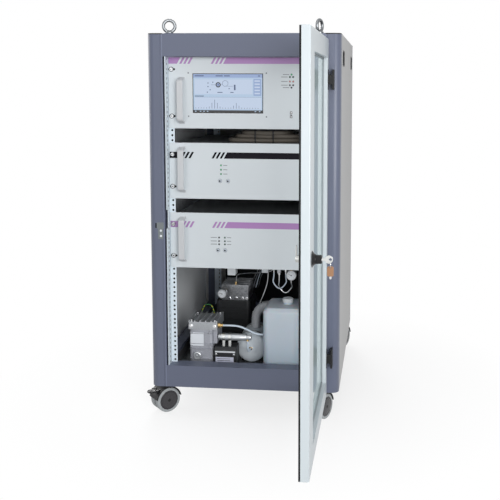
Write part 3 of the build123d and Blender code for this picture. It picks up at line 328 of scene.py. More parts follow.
def make_finishes(colours):
    """Every finish by its name in the shop."""
    FINISHES.update(
        frame=coated("frame_paint", colours.frame, 0.38, 0.05, 0.05),
        # The frame coat made much paler: a painted highlight on the rounded inner edge of each front post.
        bead=coated("frame_bead_painted_highlight", shade(colours.frame, 1.75), 0.32, 0.03, 0.04),
        skin=coated("skin_paint", colours.skin, 0.48, 0.06, 0.04),
        # Paler than the skin coat: painted light on the faces of the side sheets that look into the cabinet.
        inner=coated("inner_wall_painted_light", linear(244, 247, 250), 0.62, 0.03, 0.03),
        door=coated("door_paint", colours.door, 0.36, 0.04, 0.02),
        rail=coated("rail_paint", linear(216, 226, 233), 0.40, 0.03, 0.03),
        rear_rail=coated("rear_rail_paint", linear(206, 216, 226), 0.40, 0.03, 0.05),
        panel=coated("unit_panel_paint", colours.panel, 0.36, 0.035, 0.03, 1300.0),
        handle=coated("handle_paint", linear(194, 196, 199), 0.36, 0.02, 0.03),
        purple=coated("stripe_purple", colours.stripe, 0.35, 0.02, 0.04),
        ink=coated("stripe_black", linear(17, 15, 23), 0.5, 0.02, 0.06, Specular_IOR_Level=0.1),
        label=coated("blank_label", linear(226, 230, 236), 0.5, 0.02, 0.03),
        lilac=coated("lilac_label", linear(206, 208, 226), 0.5, 0.02, 0.03),
        black=coated("black_plastic", linear(25, 25, 27), 0.45, 0.10, 0.12, 700.0, Specular_IOR_Level=0.25),
        gloss_black=coated("gloss_black", linear(17, 17, 19), 0.24, 0.02, 0.08, Specular_IOR_Level=0.3),
        disc=coated("wheel_disc", linear(48, 47, 51), 0.26, 0.03, 0.12),
        tyre=coated("tyre_tread", linear(158, 162, 164), 0.62, 0.08, 0.07, 500.0),
        bead_seal=coated("glazing_seal", linear(138, 146, 150), 0.6, 0.05, 0.05),
        caption=coated("caption_grey", linear(112, 116, 122), 0.5, 0.02, 0.05),
        # Near-black foam for the mat over the rear vents; the mat also stands in for the shade seen through them.
        foam=coated("vent_foam_shade", linear(30, 31, 33), 0.9, 0.4, 0.15, 260.0),
        catch=coated("catch_plate", linear(112, 118, 120), 0.4, 0.03, 0.10),
        tan=coated("mounting_plate", linear(150, 122, 92), 0.5, 0.05, 0.10),
        forged=brushed("forged_steel", (0.20, 0.21, 0.22), 0.36, "z"),
        seal=coated("seal_rubber", linear(26, 27, 29), 0.75, 0.12, 0.10, 500.0, Specular_IOR_Level=0.2),
        # Near-black painted shade, laid in holes, slots and sockets and round washers so that they read dark.
        recess=coated("painted_shade_black", linear(10, 10, 11), 0.8, 0.02, 0.05, Specular_IOR_Level=0.0),
        zinc=brushed("zinc_steel", (0.54, 0.55, 0.54), 0.32, "z"),
        bright=brushed("bright_steel", (0.66, 0.67, 0.68), 0.22, "x", 900.0, 0.05),
        sheet=brushed("chassis_sheet", (0.46, 0.48, 0.50), 0.38, "y"),
        floor_sheet=brushed("base_sheet", (0.34, 0.35, 0.36), 0.46, "y"),
        oven=brushed("oven_sheet", (0.60, 0.60, 0.58), 0.40, "y"),
        tube=brushed("steel_line", (0.62, 0.63, 0.64), 0.22, "z", 500.0, 0.08),
        turned=brushed("turned_aluminium", (0.52, 0.54, 0.56), 0.30, "x", 160.0, 0.10, 0.05, 0.6),
        brass=brushed("turned_brass", (0.72, 0.50, 0.22), 0.25, "x", 300.0, 0.12),
        head=cast("compressor_head", linear(164, 167, 171), 0.38, 300.0, 0.2, 0.45, 0.10),
        casting=cast("compressor_paint", linear(164, 166, 174), 0.48, 380.0, 0.15, 0.15, 0.10),
        pump=cast("pump_paint", linear(28, 30, 33), 0.5, 300.0, 0.15, 0.1),
        pump_head=cast("pump_head_metal", (0.30, 0.31, 0.33), 0.34, 200.0, 0.35, 0.85, 0.3),
        tank=coated("tank_paint", linear(224, 231, 237), 0.34, 0.05, 0.06),
        canister=milky_plastic(),
        white=coated("white_plastic", linear(222, 226, 230), 0.35, 0.04, 0.04),
        hose=coated("hose_plastic", linear(206, 218, 230), 0.28, 0.02, 0.04),
        duct=coated("duct_plastic", linear(192, 194, 198), 0.5, 0.05, 0.08),
        shadow=coated("hole_shadow", linear(150, 152, 156), 0.5, 0.02, 0.05),
        loom=coated("cable_sleeve", linear(92, 86, 78), 0.7, 0.3, 0.20, 350.0),
        leather=coated("fob_plastic", linear(142, 104, 74), 0.45, 0.1, 0.15),
        wire=striped_wire(),
        circuit=circuit_green(),
        winding=column_winding(),
        glass=window_glass(),
        screen_body=glowing("screen_body", linear(182, 206, 232), 0.72),
        screen_pane=glowing("screen_pane", linear(198, 214, 238), 0.72),
        screen_bar=glowing("screen_bar", linear(150, 172, 214), 0.72),
        screen_mark=glowing("screen_mark", linear(72, 92, 132), 0.6),
        screen_dark=glowing("screen_dark", linear(10, 13, 20), 0.5),
        lamp_green=lens("lamp_green", linear(58, 150, 96), 0.25),
        lamp_dim=lens("lamp_dim", linear(38, 84, 62), 0.0),
        lamp_red=lens("lamp_red", linear(190, 120, 110), 0.1),
        lamp_off=lens("lamp_off", linear(44, 44, 46), 0.0),
    )


# ------------------------------------------------------------------ pieces

def placed(mesh, name, body, slot=None):
    """A finished mesh as an object that rides on a body."""
    piece = bpy.data.objects.new(name, mesh)
    bpy.context.scene.collection.objects.link(piece)
    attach(piece, body)
    return piece


def smoothed(mesh):
    """Smooth shading, but flat on each face that is level with, or square to, its larger neighbours."""
    mesh.shade_smooth()
    mesh.set_sharp_from_angle(angle=SMOOTH_ANGLE)
    bm = bmesh.new()
    bm.from_mesh(mesh)
    sizes = {face: face.calc_area() for face in bm.faces}
    for face, size in sizes.items():
        turns = [edge.calc_face_angle(0) for edge in face.edges
                 if edge.is_manifold and min(sizes[near] for near in edge.link_faces) > size / 4]
        face.smooth = any(FLAT_ANGLE < turn < SMOOTH_ANGLE for turn in turns)
    bm.to_mesh(mesh)
    bm.free()


def ease_edges(bm, width, segments=2):
    """Rounds the sharp edges that have a face on each side."""
    sharp = [edge for edge in bm.edges if edge.is_manifold and edge.calc_face_angle(0) > EDGE_ANGLE]
    if sharp and width:
        bmesh.ops.bevel(bm, geom=sharp, offset=width, segments=segments, profile=0.5,
                        affect="EDGES", clamp_overlap=True)


def facing(direction):
    """The turn that takes +Z to a direction."""
    return Vector(direction).to_track_quat("Z", "Y").to_matrix().to_4x4()


def upright(y):
    """Takes an outline in XY to a standing one at y, whose +Z becomes the front."""
    return Matrix(((1, 0, 0, 0), (0, 0, -1, y), (0, 1, 0, 0), (0, 0, 0, 1)))


def bridge(part, first, second):
    """Closes the gap between two closed rows of points with a band of faces."""
    for k, corner in enumerate(first):
        part.faces.new((first[k - 1], corner, second[k], second[k - 1]))


def evaluated_mesh(carrier):
    """The plain mesh that a curve or a modifier gives."""
    return bpy.data.meshes.new_from_object(carrier.evaluated_get(bpy.context.evaluated_depsgraph_get()))


def welded(node):
    """The mesh of a CAD node, in millimetres, with its loose triangles joined and its flat faces whole."""
    part = bmesh.new()
    part.from_mesh(frame["nodes"][node].data)
    bmesh.ops.remove_doubles(part, verts=part.verts, dist=WELD)
    bmesh.ops.dissolve_limit(part, angle_limit=FLAT_ANGLE, verts=part.verts, edges=part.edges)
    bmesh.ops.transform(part, matrix=Matrix.Scale(1 / MM, 4), verts=part.verts)
    return part


class Piece:
    """Gathers the closed solids of one piece, in millimetres, with a finish for each."""

    def __init__(self, name):
        self.name = name
        self.bm = bmesh.new()
        self.finishes = []

    def take(self, part, finish, edge=0.0, segments=2):
        """Adds a bmesh: its edges eased and its faces turned outwards."""
        bmesh.ops.remove_doubles(part, verts=part.verts, dist=1e-4)
        bmesh.ops.recalc_face_normals(part, faces=part.faces)
        ease_edges(part, edge, segments)
        if finish not in self.finishes:
            self.finishes.append(finish)
        for face in part.faces:
            face.material_index = self.finishes.index(finish)
        mesh = bpy.data.meshes.new("part")
        part.to_mesh(mesh)
        part.free()
        self.bm.from_mesh(mesh)
        bpy.data.meshes.remove(mesh)
        return self

    def box(self, x, y, z, finish, edge=0.0, turn=None):
        """A box between two planes on each axis, turned about a point if asked."""
        part = bmesh.new()
        bmesh.ops.create_cube(part, size=1.0)
        middle = Vector((sum(x) / 2, sum(y) / 2, sum(z) / 2))
        sizes = (abs(x[1] - x[0]), abs(y[1] - y[0]), abs(z[1] - z[0]))
        bmesh.ops.transform(part, matrix=Matrix.Translation(middle) @ Matrix.Diagonal((*sizes, 1)), verts=part.verts)
        if turn:
            bmesh.ops.transform(part, matrix=turn, verts=part.verts)
        return self.take(part, finish, edge)

    def prism(self, outline, place, depth, finish, edge=0.0, segments=2):
        """A flat outline, in the XY plane of a placing matrix, given a thickness along its Z."""
        part = bmesh.new()
        face = part.faces.new([part.verts.new((x, y, 0)) for x, y in outline])
        grown = bmesh.ops.extrude_face_region(part, geom=[face])["geom"]
        bmesh.ops.translate(part, vec=(0, 0, depth), verts=[v for v in grown if isinstance(v, bmesh.types.BMVert)])
        bmesh.ops.transform(part, matrix=place, verts=part.verts)
        return self.take(part, finish, edge, segments)

    def turned(self, profile, start, direction, finish, sides=48, edge=0.0, hollow=False):
        """A lathe shape: radius and distance pairs along a direction; a hollow one is a closed ring."""
        part = bmesh.new()
        angles = [2 * pi * k / sides for k in range(sides)]
        rings = []
        for radius, distance in profile:
            if radius <= POLE:
                rings.append([part.verts.new((0, 0, distance))] * sides)
            else:
                rings.append([part.verts.new((radius * cos(a), radius * sin(a), distance)) for a in angles])
        if hollow:
            rings.append(rings[0])
        for lower, upper in zip(rings, rings[1:]):
            for k in range(sides):
                corners = [lower[k], lower[(k + 1) % sides], upper[(k + 1) % sides], upper[k]]
                corners = [v for n, v in enumerate(corners) if v not in corners[:n]]
                if len(corners) > 2:
                    part.faces.new(corners)
        for ring in (rings[0], rings[-1]):
            if ring[0] is not ring[1] and not hollow:
                part.faces.new(ring)
        bmesh.ops.transform(part, matrix=Matrix.Translation(start) @ facing(direction), verts=part.verts)
        return self.take(part, finish, edge)

    def disc(self, radius, height, start, direction, finish, sides=48, edge=0.0):
        """A plain cylinder along a direction; six sides make a nut."""
        walls = [(0, 0), (radius, 0), (radius, height), (0, height)]
        return self.turned(walls, start, direction, finish, sides, edge)

    def collar(self, inner, outer, height, start, direction, finish, sides=48):
        """A plain tube along a direction."""
        walls = [(inner, 0), (outer, 0), (outer, height), (inner, height)]
        return self.turned(walls, start, direction, finish, sides, hollow=True)

    def plate(self, x, z, radius, y, depth, finish, edge=0.0, steps=6):
        """A rounded rectangle between limits of x and z, which stands out from a face at y."""
        return self.prism(rounded_rectangle(x, z, radius, steps), upright(y), depth, finish, edge)

    def ring(self, centre, axis, radius, wire, finish, sides=48, round_sides=16):
        """A torus."""
        part = bmesh.new()
        section = [(radius + wire * cos(a), wire * sin(a))
                   for a in (2 * pi * n / round_sides for n in range(round_sides))]
        rows = [[part.verts.new((out * cos(turn), out * sin(turn), up)) for out, up in section]
                for turn in (2 * pi * k / sides for k in range(sides))]
        for row, after in zip(rows, rows[1:] + rows[:1]):
            bridge(part, row, after)
        bmesh.ops.transform(part, matrix=Matrix.Translation(centre) @ facing(axis), verts=part.verts)
        return self.take(part, finish)

    def bolt(self, start, direction, radius, height, finish="bright"):
        """A hexagon head on a washer."""
        washer = 0.8
        self.disc(radius * 1.35, washer, start, direction, finish, 20)
        return self.disc(radius, height, Vector(start) + Vector(direction) * washer, direction, finish, 6, 0.4)

    def line(self, points, radius, finish, sides=12):
        """A tube along the smooth spline of a route."""
        curve = bpy.data.curves.new("route", "CURVE")
        curve.dimensions = "3D"
        spline = curve.splines.new("NURBS")
        spline.points.add(len(points) - 1)
        for point, place in zip(spline.points, points):
            point.co = (*place, 1)
        spline.order_u = 3
        spline.use_endpoint_u = True
        spline.resolution_u = 10
        curve.bevel_depth = radius
        curve.bevel_resolution = sides // 4
        curve.use_fill_caps = True
        carrier = bpy.data.objects.new("route", curve)
        bpy.context.scene.collection.objects.link(carrier)
        mesh = evaluated_mesh(carrier)
        part = bmesh.new()
        part.from_mesh(mesh)
        bpy.data.objects.remove(carrier)
        bpy.data.curves.remove(curve)
        bpy.data.meshes.remove(mesh)
        return self.take(part, finish)

    def copy_of(self, node, finish, edge=0.4, pick=None, corner=None, radius=0.0):
        """A CAD node; pick gives a finish from a solid's middle, and corner finds the edges to round."""
        part = welded(node)
        for solid in loose_solids(part):
            middle = sum((v.co for v in solid.verts), Vector()) / len(solid.verts)
            chosen = pick(middle) if pick else finish
            if corner:
                bmesh.ops.bevel(solid, geom=[line for line in solid.edges if corner(line)], offset=radius,
                                segments=5, profile=0.5, affect="EDGES", clamp_overlap=True)
            if chosen:
                self.take(solid, chosen, edge)
            else:
                solid.free()
        part.free()
        return self

    def done(self, body, slot=None, stands_for=()):
        """Makes the object, and hides the nodes that it stands for."""
        bmesh.ops.transform(self.bm, matrix=Matrix.Scale(MM, 4), verts=self.bm.verts)
        mesh = bpy.data.meshes.new(self.name)
        self.bm.to_mesh(mesh)
        self.bm.free()
        for finish in self.finishes:
            mesh.materials.append(FINISHES[finish])
        smoothed(mesh)
        piece = placed(mesh, self.name, body, slot)
        if stands_for:
            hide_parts(*stands_for)
        return piece


def loose_solids(bm):
    """Each connected part of a bmesh, as a bmesh of its own, in the order of their first faces."""
    reached = set()
    for first in bm.faces:
        if first in reached:
            continue
        reached.add(first)
        island = [first]
        for face in island:
            for near in (near for vert in face.verts for near in vert.link_faces):
                if near not in reached:
                    reached.add(near)
                    island.append(near)
        solid = bmesh.new()
        made = {}
        for face in island:
            for vert in face.verts:
                if vert not in made:
                    made[vert] = solid.verts.new(vert.co)
            solid.faces.new([made[vert] for vert in face.verts])
        yield solid


def dress(node, finish, body="cabinet", edge=0.4):
    """A node shown as a welded copy with eased edges."""
    return Piece(node + "_finished").copy_of(node, finish, edge).done(body, slot_of(node), [node])


def paint(node, finish):
    """A node whose own mesh stays, with a finish in its slot."""
    mesh = frame["nodes"][node].data
    mesh.materials.clear()
    mesh.materials.append(FINISHES[finish])


def slot_of(node):
    """The finish slot that the record gives a node."""
    return next(part["material_slot"] for part in frame["record"]["subparts"] if part["node"] == node)


# ------------------------------------------------------------------ repeats

class Repeat:
    """A Geometry Nodes tree that sets a small solid on every point of a mesh."""

    SOCKETS = (("Radius", "NodeSocketFloat"), ("Crown Radius", "NodeSocketFloat"), ("Height", "NodeSocketFloat"),
               ("Sides", "NodeSocketInt"), ("Facing", "NodeSocketVector"), ("Finish", "NodeSocketMaterial"))

    def __init__(self):
        self.tree = bpy.data.node_groups.new("repeat_on_points", "GeometryNodeTree")
        face = self.tree.interface
        face.new_socket("Points", in_out="INPUT", socket_type="NodeSocketGeometry")
        self.identifiers = {name: face.new_socket(name, in_out="INPUT", socket_type=kind).identifier
                            for name, kind in self.SOCKETS}
        face.new_socket("Solids", in_out="OUTPUT", socket_type="NodeSocketGeometry")
        nodes = self.tree.nodes
        given, result = nodes.new("NodeGroupInput"), nodes.new("NodeGroupOutput")
        stud = nodes.new("GeometryNodeMeshCone")
        turn = nodes.new("FunctionNodeEulerToRotation")
        spread = nodes.new("GeometryNodeInstanceOnPoints")
        real = nodes.new("GeometryNodeRealizeInstances")
        coat = nodes.new("GeometryNodeSetMaterial")
        for source, output, target, entry in (
                (given, "Radius", stud, "Radius Bottom"), (given, "Crown Radius", stud, "Radius Top"),
                (given, "Height", stud, "Depth"), (given, "Sides", stud, "Vertices"), (given, "Facing", turn, 0),
                (given, "Points", spread, "Points"), (stud, "Mesh", spread, "Instance"),
                (turn, 0, spread, "Rotation"), (spread, 0, real, 0), (real, 0, coat, "Geometry"),
                (given, "Finish", coat, "Material"), (coat, 0, result, 0)):
            self.tree.links.new(source.outputs[output], target.inputs[entry])

    def on(self, name, points, body, finish, radius, height, crown=None, sides=20, direction=FRONT, slot=None):
        """One piece with a stud on each point, its foot on the point and its crown along the direction."""
        mesh = bpy.data.meshes.new(name)
        mesh.from_pydata([Vector(point) * MM for point in points], [], [])
        carrier = bpy.data.objects.new(name + "_points", mesh)
        bpy.context.scene.collection.objects.link(carrier)
        modifier = carrier.modifiers.new("repeat", "NODES")
        modifier.node_group = self.tree
        turn = facing(direction).to_euler()
        for label, value in (("Radius", radius * MM), ("Crown Radius", (crown or radius) * MM),
                             ("Height", height * MM), ("Sides", sides), ("Facing", tuple(turn)),
                             ("Finish", FINISHES[finish])):
            modifier[self.identifiers[label]] = value
        carrier.update_tag()
        result = evaluated_mesh(carrier)
        result.name = name
        carrier.modifiers.remove(modifier)
        bpy.data.objects.remove(carrier)
        smoothed(result)
        return placed(result, name, body, slot)


REPEATS = {}


def studs(*given, **named):
    """A piece made of studs, by the one tree that all of them share."""
    if "studs" not in REPEATS:
        REPEATS["studs"] = Repeat()
    return REPEATS["studs"].on(*given, **named)


# ------------------------------------------------------------------ shared outlines and places


RACK_UNIT = 44.45
HOLE_FIRST = 6.35
HOLE_STEP = 15.875
HOLE_COLUMN = 232.55
HOLE_RADIUS = 3.5
RACK_ROWS = 22
RAIL_SHEET = 2.0
PANEL_SHEET = 3.0
RACK_TOP = span("front_rack_rails")[1].z - 0.1
PANEL_FRONT = span("generator_panel")[0].y
PANELS = {"upper_unit_panel": 5, "generator_panel": 4, "lower_unit_panel": 4}
LOCK_AXIS = ((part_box("latch_rosette")[0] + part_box("latch_rosette")[1]) / 2) / MM
DOOR_FACE = span("door_frame")[1].x
POST_FACE = span("corner_posts")[0].y


def rounded(corners, radii, steps=6):
    """An outline whose corners are arcs of the given radii; 0 leaves a corner sharp."""
    outline = []
    count = len(corners)
    for index, (corner, radius) in enumerate(zip(corners, radii)):
        here = Vector(corner)
        before = (Vector(corners[index - 1]) - here).normalized()
        after = (Vector(corners[(index + 1) % count]) - here).normalized()
        if not radius:
            outline.append(tuple(here))
            continue
        half = before.angle(after) / 2
        reach = radius / math.tan(half)
        middle = here + (before + after).normalized() * radius / math.sin(half)
        first, last = here + before * reach - middle, here + after * reach - middle
        sweep = first.angle(last)
        side = 1 if first.x * last.y - first.y * last.x > 0 else -1
        for step in range(steps + 1):
            angle = side * sweep * step / steps
            outline.append((middle.x + first.x * cos(angle) - first.y * sin(angle),
                            middle.y + first.x * sin(angle) + first.y * cos(angle)))
    return outline


def rounded_rectangle(x, z, radius, steps=6):
    """A rectangle between two limits each way, with round corners."""
    corners = ((x[0], z[0]), (x[1], z[0]), (x[1], z[1]), (x[0], z[1]))
    return rounded(corners, [radius] * 4, steps)


def solids_of(node):
    """Middle and size of each solid of a node, in millimetres, from the top down."""
    part = welded(node)
    found = []
    for solid in loose_solids(part):
        low = Vector([min(v.co[n] for v in solid.verts) for n in range(3)])
        high = Vector([max(v.co[n] for v in solid.verts) for n in range(3)])
        found.append(((low + high) / 2, high - low))
        solid.free()
    part.free()
    return sorted(found, key=lambda item: (-round(item[0].z, 1), round(item[0].x, 1)))


RAIL_HEIGHTS = [RACK_TOP - row * RACK_UNIT + HOLE_FIRST + step * HOLE_STEP
                for row in range(1, RACK_ROWS + 1) for step in range(3)]


def heights_within(z_span):
    """The rail heights that leave room for a hole inside a span, from the lowest."""
    return sorted(height for height in RAIL_HEIGHTS if z_span[0] + 5 < height < z_span[1] - 5)


def perforated(piece, width, hole, z_span, place, finish):
    """A strip of rail with one round hole at each height; place takes across, up and through to the model."""
    part = bmesh.new()
    foot, top = z_span
    heights = heights_within(z_span)
    edges = [foot, *((a + b) / 2 for a, b in zip(heights, heights[1:])), top]
    quarters = [k / 4 for k in range(4)]
    for height, low, high in zip(heights, edges, edges[1:]):
        tall = high - low
        rim = ([(width * q, low) for q in quarters] + [(width, low + tall * q) for q in quarters]
               + [(width * (1 - q), high) for q in quarters] + [(0, high - tall * q) for q in quarters])
        turns = [math.atan2(up - height, across - hole) for across, up in rim]
        bore = [(hole + HOLE_RADIUS * cos(turn), height + HOLE_RADIUS * sin(turn)) for turn in turns]
        front_rim, front_bore, back_rim, back_bore = (
            [part.verts.new((*point, depth)) for point in points]
            for depth in (0, RAIL_SHEET) for points in (rim, bore))
        bridge(part, front_rim, front_bore)
        bridge(part, back_rim, back_bore)
        bridge(part, front_bore, back_bore)
        for k in range(16):
            at_end = (k < 4 and low == foot) or (8 <= k < 12 and high == top)
            if 4 <= k < 8 or k >= 12 or at_end:
                n = (k + 1) % 16
                part.faces.new((front_rim[k], front_rim[n], back_rim[n], back_rim[k]))
    bmesh.ops.transform(part, matrix=place, verts=part.verts)
    return piece.take(part, finish)


# ------------------------------------------------------------------ operators

class RackOperator:
    """What every operator here has in common."""
    bl_options = {"REGISTER", "UNDO"}

    def execute(self, context):
        self.make(context.scene)
        return {"FINISHED"}


class RACK_OT_finishes(RackOperator, bpy.types.Operator):
    """Mix the finishes"""
    bl_idname = "rack.finishes"
    bl_label = "Finishes"

    def make(self, scene):
        make_finishes(scene.rack_colours)


class RACK_OT_cabinet(RackOperator, bpy.types.Operator):
    """Dress the posts, crossbars, caps and skins of the cabinet"""
    bl_idname = "rack.cabinet"
    bl_label = "Cabinet"

    CORNER_RADIUS = 8.0
    BEAD_PROUD = 0.15
    STRIKER_SHEET = 0.2

    def make(self, scene):
        posts = Piece("rounded_posts")
        posts.copy_of("corner_posts", "frame", 0.8, None, self.outermost, self.CORNER_RADIUS)
        posts.done("cabinet", "frame_paint", ["corner_posts"])
        self.skins()
        for node, finish, edge in (("front_crossbars", "frame", 0.8), ("frame_beams", "frame", 0.6),
                                   ("corner_caps", "black", 0.5), ("roof_panel", "skin", 0.4),
                                   ("rear_panel", "skin", 0.4), ("base_plate", "floor_sheet", 0.4)):
            dress(node, finish, edge=edge)
        self.beads(scene.rack_sizes.bead_radius / MM)
        self.grips()
        self.striker()
        low, high = span("rear_panel")
        # A dark foam mat over the rear vents, which also paints the shade that the vents would show, in place of the
        # bright backdrop behind them.
        mat = Piece("vent_mat_painted_shade")
        mat.box((low.x + 30, high.x - 30), (low.y - 4, low.y), (low.z + 30, low.z + 420), "foam", 1.0)
        mat.done("cabinet", "black_plastic")
        plugs = [(side * 282, end * 376, 100.0) for side in (-1, 1) for end in (-1, 1)]
        studs("post_foot_plugs", plugs, "cabinet", "black", 6, 1.2, 5, 24, DOWN, "black_plastic")

    def outermost(self, line):
        """Whether an edge of a post stands at a corner of the cabinet."""
        corner = span("corner_posts")[1]
        far_out = all(abs(v.co.x) > corner.x - 0.5 and abs(v.co.y) > corner.y - 0.5 for v in line.verts)
        return far_out and line.calc_length() > 500

    def skins(self):
        """The side sheets, with a paler, duller coat on the faces that look into the cabinet: the paler colour is
        painted light on the inner wall.
        """
        piece = Piece("side_skins").copy_of("side_panels", "skin", 0.5)
        piece.finishes.append("inner")
        for face in piece.bm.faces:
            if face.normal.x * face.calc_center_median().x < 0 and abs(face.normal.x) > 0.9:
                face.material_index = 1
        piece.done("cabinet", slot_of("side_panels"), ["side_panels"])

    def beads(self, radius):
        """The raised line down the inner edge of each front post, in a much paler coat that paints the highlight on
        the edge's round.
        """
        low, high = span("front_crossbars")
        tall = high.z - low.z
        piece = Piece("post_beads_highlight")
        for side in (-1, 1):
            piece.turned([(0, 0), (radius, 0.4), (radius, tall - 4), (0, tall - 3.6)],
                         (side * (high.x + 0.2), low.y + radius - self.BEAD_PROUD, low.z), UP, "bead", 16)
        piece.done("cabinet", "frame_paint")

    def grips(self):
        """Dark lips round the grip openings of the side panels."""
        high = span("side_panels")[1]
        piece = Piece("grip_lips")
        outer, inner = rounded_rectangle((-43, 43), (-25, 25), 6), rounded_rectangle((-39, 39), (-21, 21), 4)
        for side in (-1, 1):
            for end in (-1, 1):
                middle = (side * high.x, end * 260, high.z - 70)
                self.lip(piece, Matrix.Translation(middle) @ facing((side, 0, 0)), outer, inner)
        piece.done("cabinet", "black_plastic")

    def lip(self, piece, place, outer, inner):
        """A frame between two outlines, partly sunk in the sheet."""
        part = bmesh.new()
        rows = [[part.verts.new((x, y, depth)) for x, y in line] for depth in (-1.6, 1.0) for line in (outer, inner)]
        for first, second in ((0, 1), (2, 3), (0, 2), (1, 3)):
            bridge(part, rows[first], rows[second])
        bmesh.ops.transform(part, matrix=place, verts=part.verts)
        piece.take(part, "black", 0.4)

    def striker(self):
        """The plate on the left post that the tongue slides behind, with a near-black strip of painted shade for its
        slot, and two screws.
        """
        level, sheet = LOCK_AXIS.z, self.STRIKER_SHEET
        piece = Piece("striker_plate")
        piece.plate((-276, -253.5), (level - 30, level - 10), 1.5, POST_FACE, sheet, "catch")
        piece.plate((-272, -256), (level - 63, level - 30.2), 1.5, POST_FACE, sheet, "catch")
        # The slot is only a strip of painted shade on the plate.
        piece.plate((-280.5, -276.5), (level - 28, level - 12), 1.0, POST_FACE, sheet / 2, "recess")
        piece.done("cabinet", "zinc_steel")
        places = [(-263, POST_FACE - sheet, level - drop) for drop in (36, 53)]
        studs("striker_screws", places, "cabinet", "white", 3.6, 0.25, 3.2, 24, FRONT, "zinc_steel")


class RACK_OT_eyes(RackOperator, bpy.types.Operator):
    """Forge the lifting eyes"""
    bl_idname = "rack.eyes"
    bl_label = "Lifting eyes"

    TURNS = (20.0, 68.0, 35.0, 80.0)
    WIRE = 5.0

    def make(self, scene):
        deck = span("front_crossbars")[1].z
        outer = (span("lifting_eyebolts")[1].z - deck) / 2
        piece = Piece("forged_eyes")
        places = sorted(solids_of("lifting_eyebolts"), key=lambda item: (item[0].y, item[0].x))
        for (middle, _), turn in zip(places, self.TURNS):
            foot = Vector((middle.x, middle.y, deck))
            axis = (-sin(radians(turn)), cos(radians(turn)), 0)
            piece.ring(foot + Vector((0, 0, outer)), axis, outer - self.WIRE, self.WIRE, "forged", 56, 20)
            piece.turned([(0, 0), (12.5, 0), (12.5, 3.6), (11.6, 5.0), (8.0, 6.4), (5.2, 9.4), (0, 10.4)],
                         foot, UP, "forged", 40, 0.3)
            piece.turned([(0, 0), (5, 0.6), (5, 9), (0, 9)], foot - Vector((0, 0, 9)), UP, "zinc", 24)
        piece.done("cabinet", "zinc_steel", ["lifting_eyebolts"])


class RACK_OT_rails(RackOperator, bpy.types.Operator):
    """Punch the rack rails and dress what stands on them"""
    bl_idname = "rack.rails"
    bl_label = "Rack rails"

    FLANGE_EDGE = 225.0
    REAR_WEB = 243.0
    REAR_HOLE = 25.0
    NOTCH_DEPTH = 14.2
    NOTCH_HALF = 30.0

    def make(self, scene):
        self.front_rails()
        self.rear_rails()
        dress("chassis_supports", "zinc", edge=0.4)

    def flange(self, piece, side, width, y, z_span, finish):
        """The strip that faces the front, with the standard's column of holes."""
        place = Matrix(((side, 0, 0, side * self.FLANGE_EDGE), (0, 0, 1, y), (0, 1, 0, 0), (0, 0, 0, 1)))
        perforated(piece, width - self.FLANGE_EDGE, HOLE_COLUMN - self.FLANGE_EDGE, z_span, place, finish)

    def web_place(self, side, x, y):
        """Takes a strip's width to the depth of the cabinet."""
        return Matrix(((0, 0, side, side * x), (1, 0, 0, y), (0, 1, 0, 0), (0, 0, 0, 1)))

    def front_rails(self):
        low, high = span("front_rack_rails")
        z_span = (low.z, high.z)
        face = PANEL_FRONT + PANEL_SHEET
        depth, web_x = face - low.y, high.x - RAIL_SHEET
        piece = Piece("punched_front_rails")
        for side in (-1, 1):
            self.flange(piece, side, high.x, face, z_span, "rail")
            place = self.web_place(side, web_x, low.y)
            if side > 0:
                perforated(piece, depth, depth / 2, z_span, place, "rail")
            else:
                self.notched_web(piece, place, depth, z_span)
        piece.done("cabinet", "rail_paint", ["front_rack_rails"])
        # Thin discs at the back of the holes are painted shade seen through them: grey ones in the webs, near-black
        # ones in the flanges.
        webs = [(0.1 - web_x, low.y + depth / 2, z) for z in heights_within(z_span)
                if abs(z - LOCK_AXIS.z) > self.NOTCH_HALF]
        studs("web_hole_shadows", webs, "cabinet", "shadow", HOLE_RADIUS + 0.3, 0.15, None, 16, RIGHT,
              "black_plastic")
        backs = [(side * HOLE_COLUMN, face + RAIL_SHEET, z) for z in heights_within(z_span) for side in (-1, 1)]
        studs("flange_hole_shadows", backs, "cabinet", "recess", HOLE_RADIUS + 1.2, 0.3, None, 16, BACK,
              "black_plastic")

    def notched_web(self, piece, place, width, z_span):
        """The left web, cut away where the latch's tongue passes."""
        low, high = LOCK_AXIS.z - self.NOTCH_HALF, LOCK_AXIS.z + self.NOTCH_HALF
        for part_span in ((z_span[0], low), (high, z_span[1])):
            perforated(piece, width, width / 2, part_span, place, "rail")
        rest = place @ Matrix.Translation((self.NOTCH_DEPTH, 0, 0))
        perforated(piece, width - self.NOTCH_DEPTH, width / 2 - 6, (low, high), rest, "rail")

    def rear_rails(self):
        low, high = span("rear_rack_rails")
        z_span = (low.z, high.z)
        web_front = low.y + RAIL_SHEET
        piece = Piece("punched_rear_rails")
        for side in (-1, 1):
            self.flange(piece, side, high.x, low.y, z_span, "rear_rail")
            place = self.web_place(side, self.REAR_WEB, web_front)
            perforated(piece, high.y - web_front, self.REAR_HOLE, z_span, place, "rear_rail")
        piece.done("cabinet", "rail_paint", ["rear_rack_rails"])


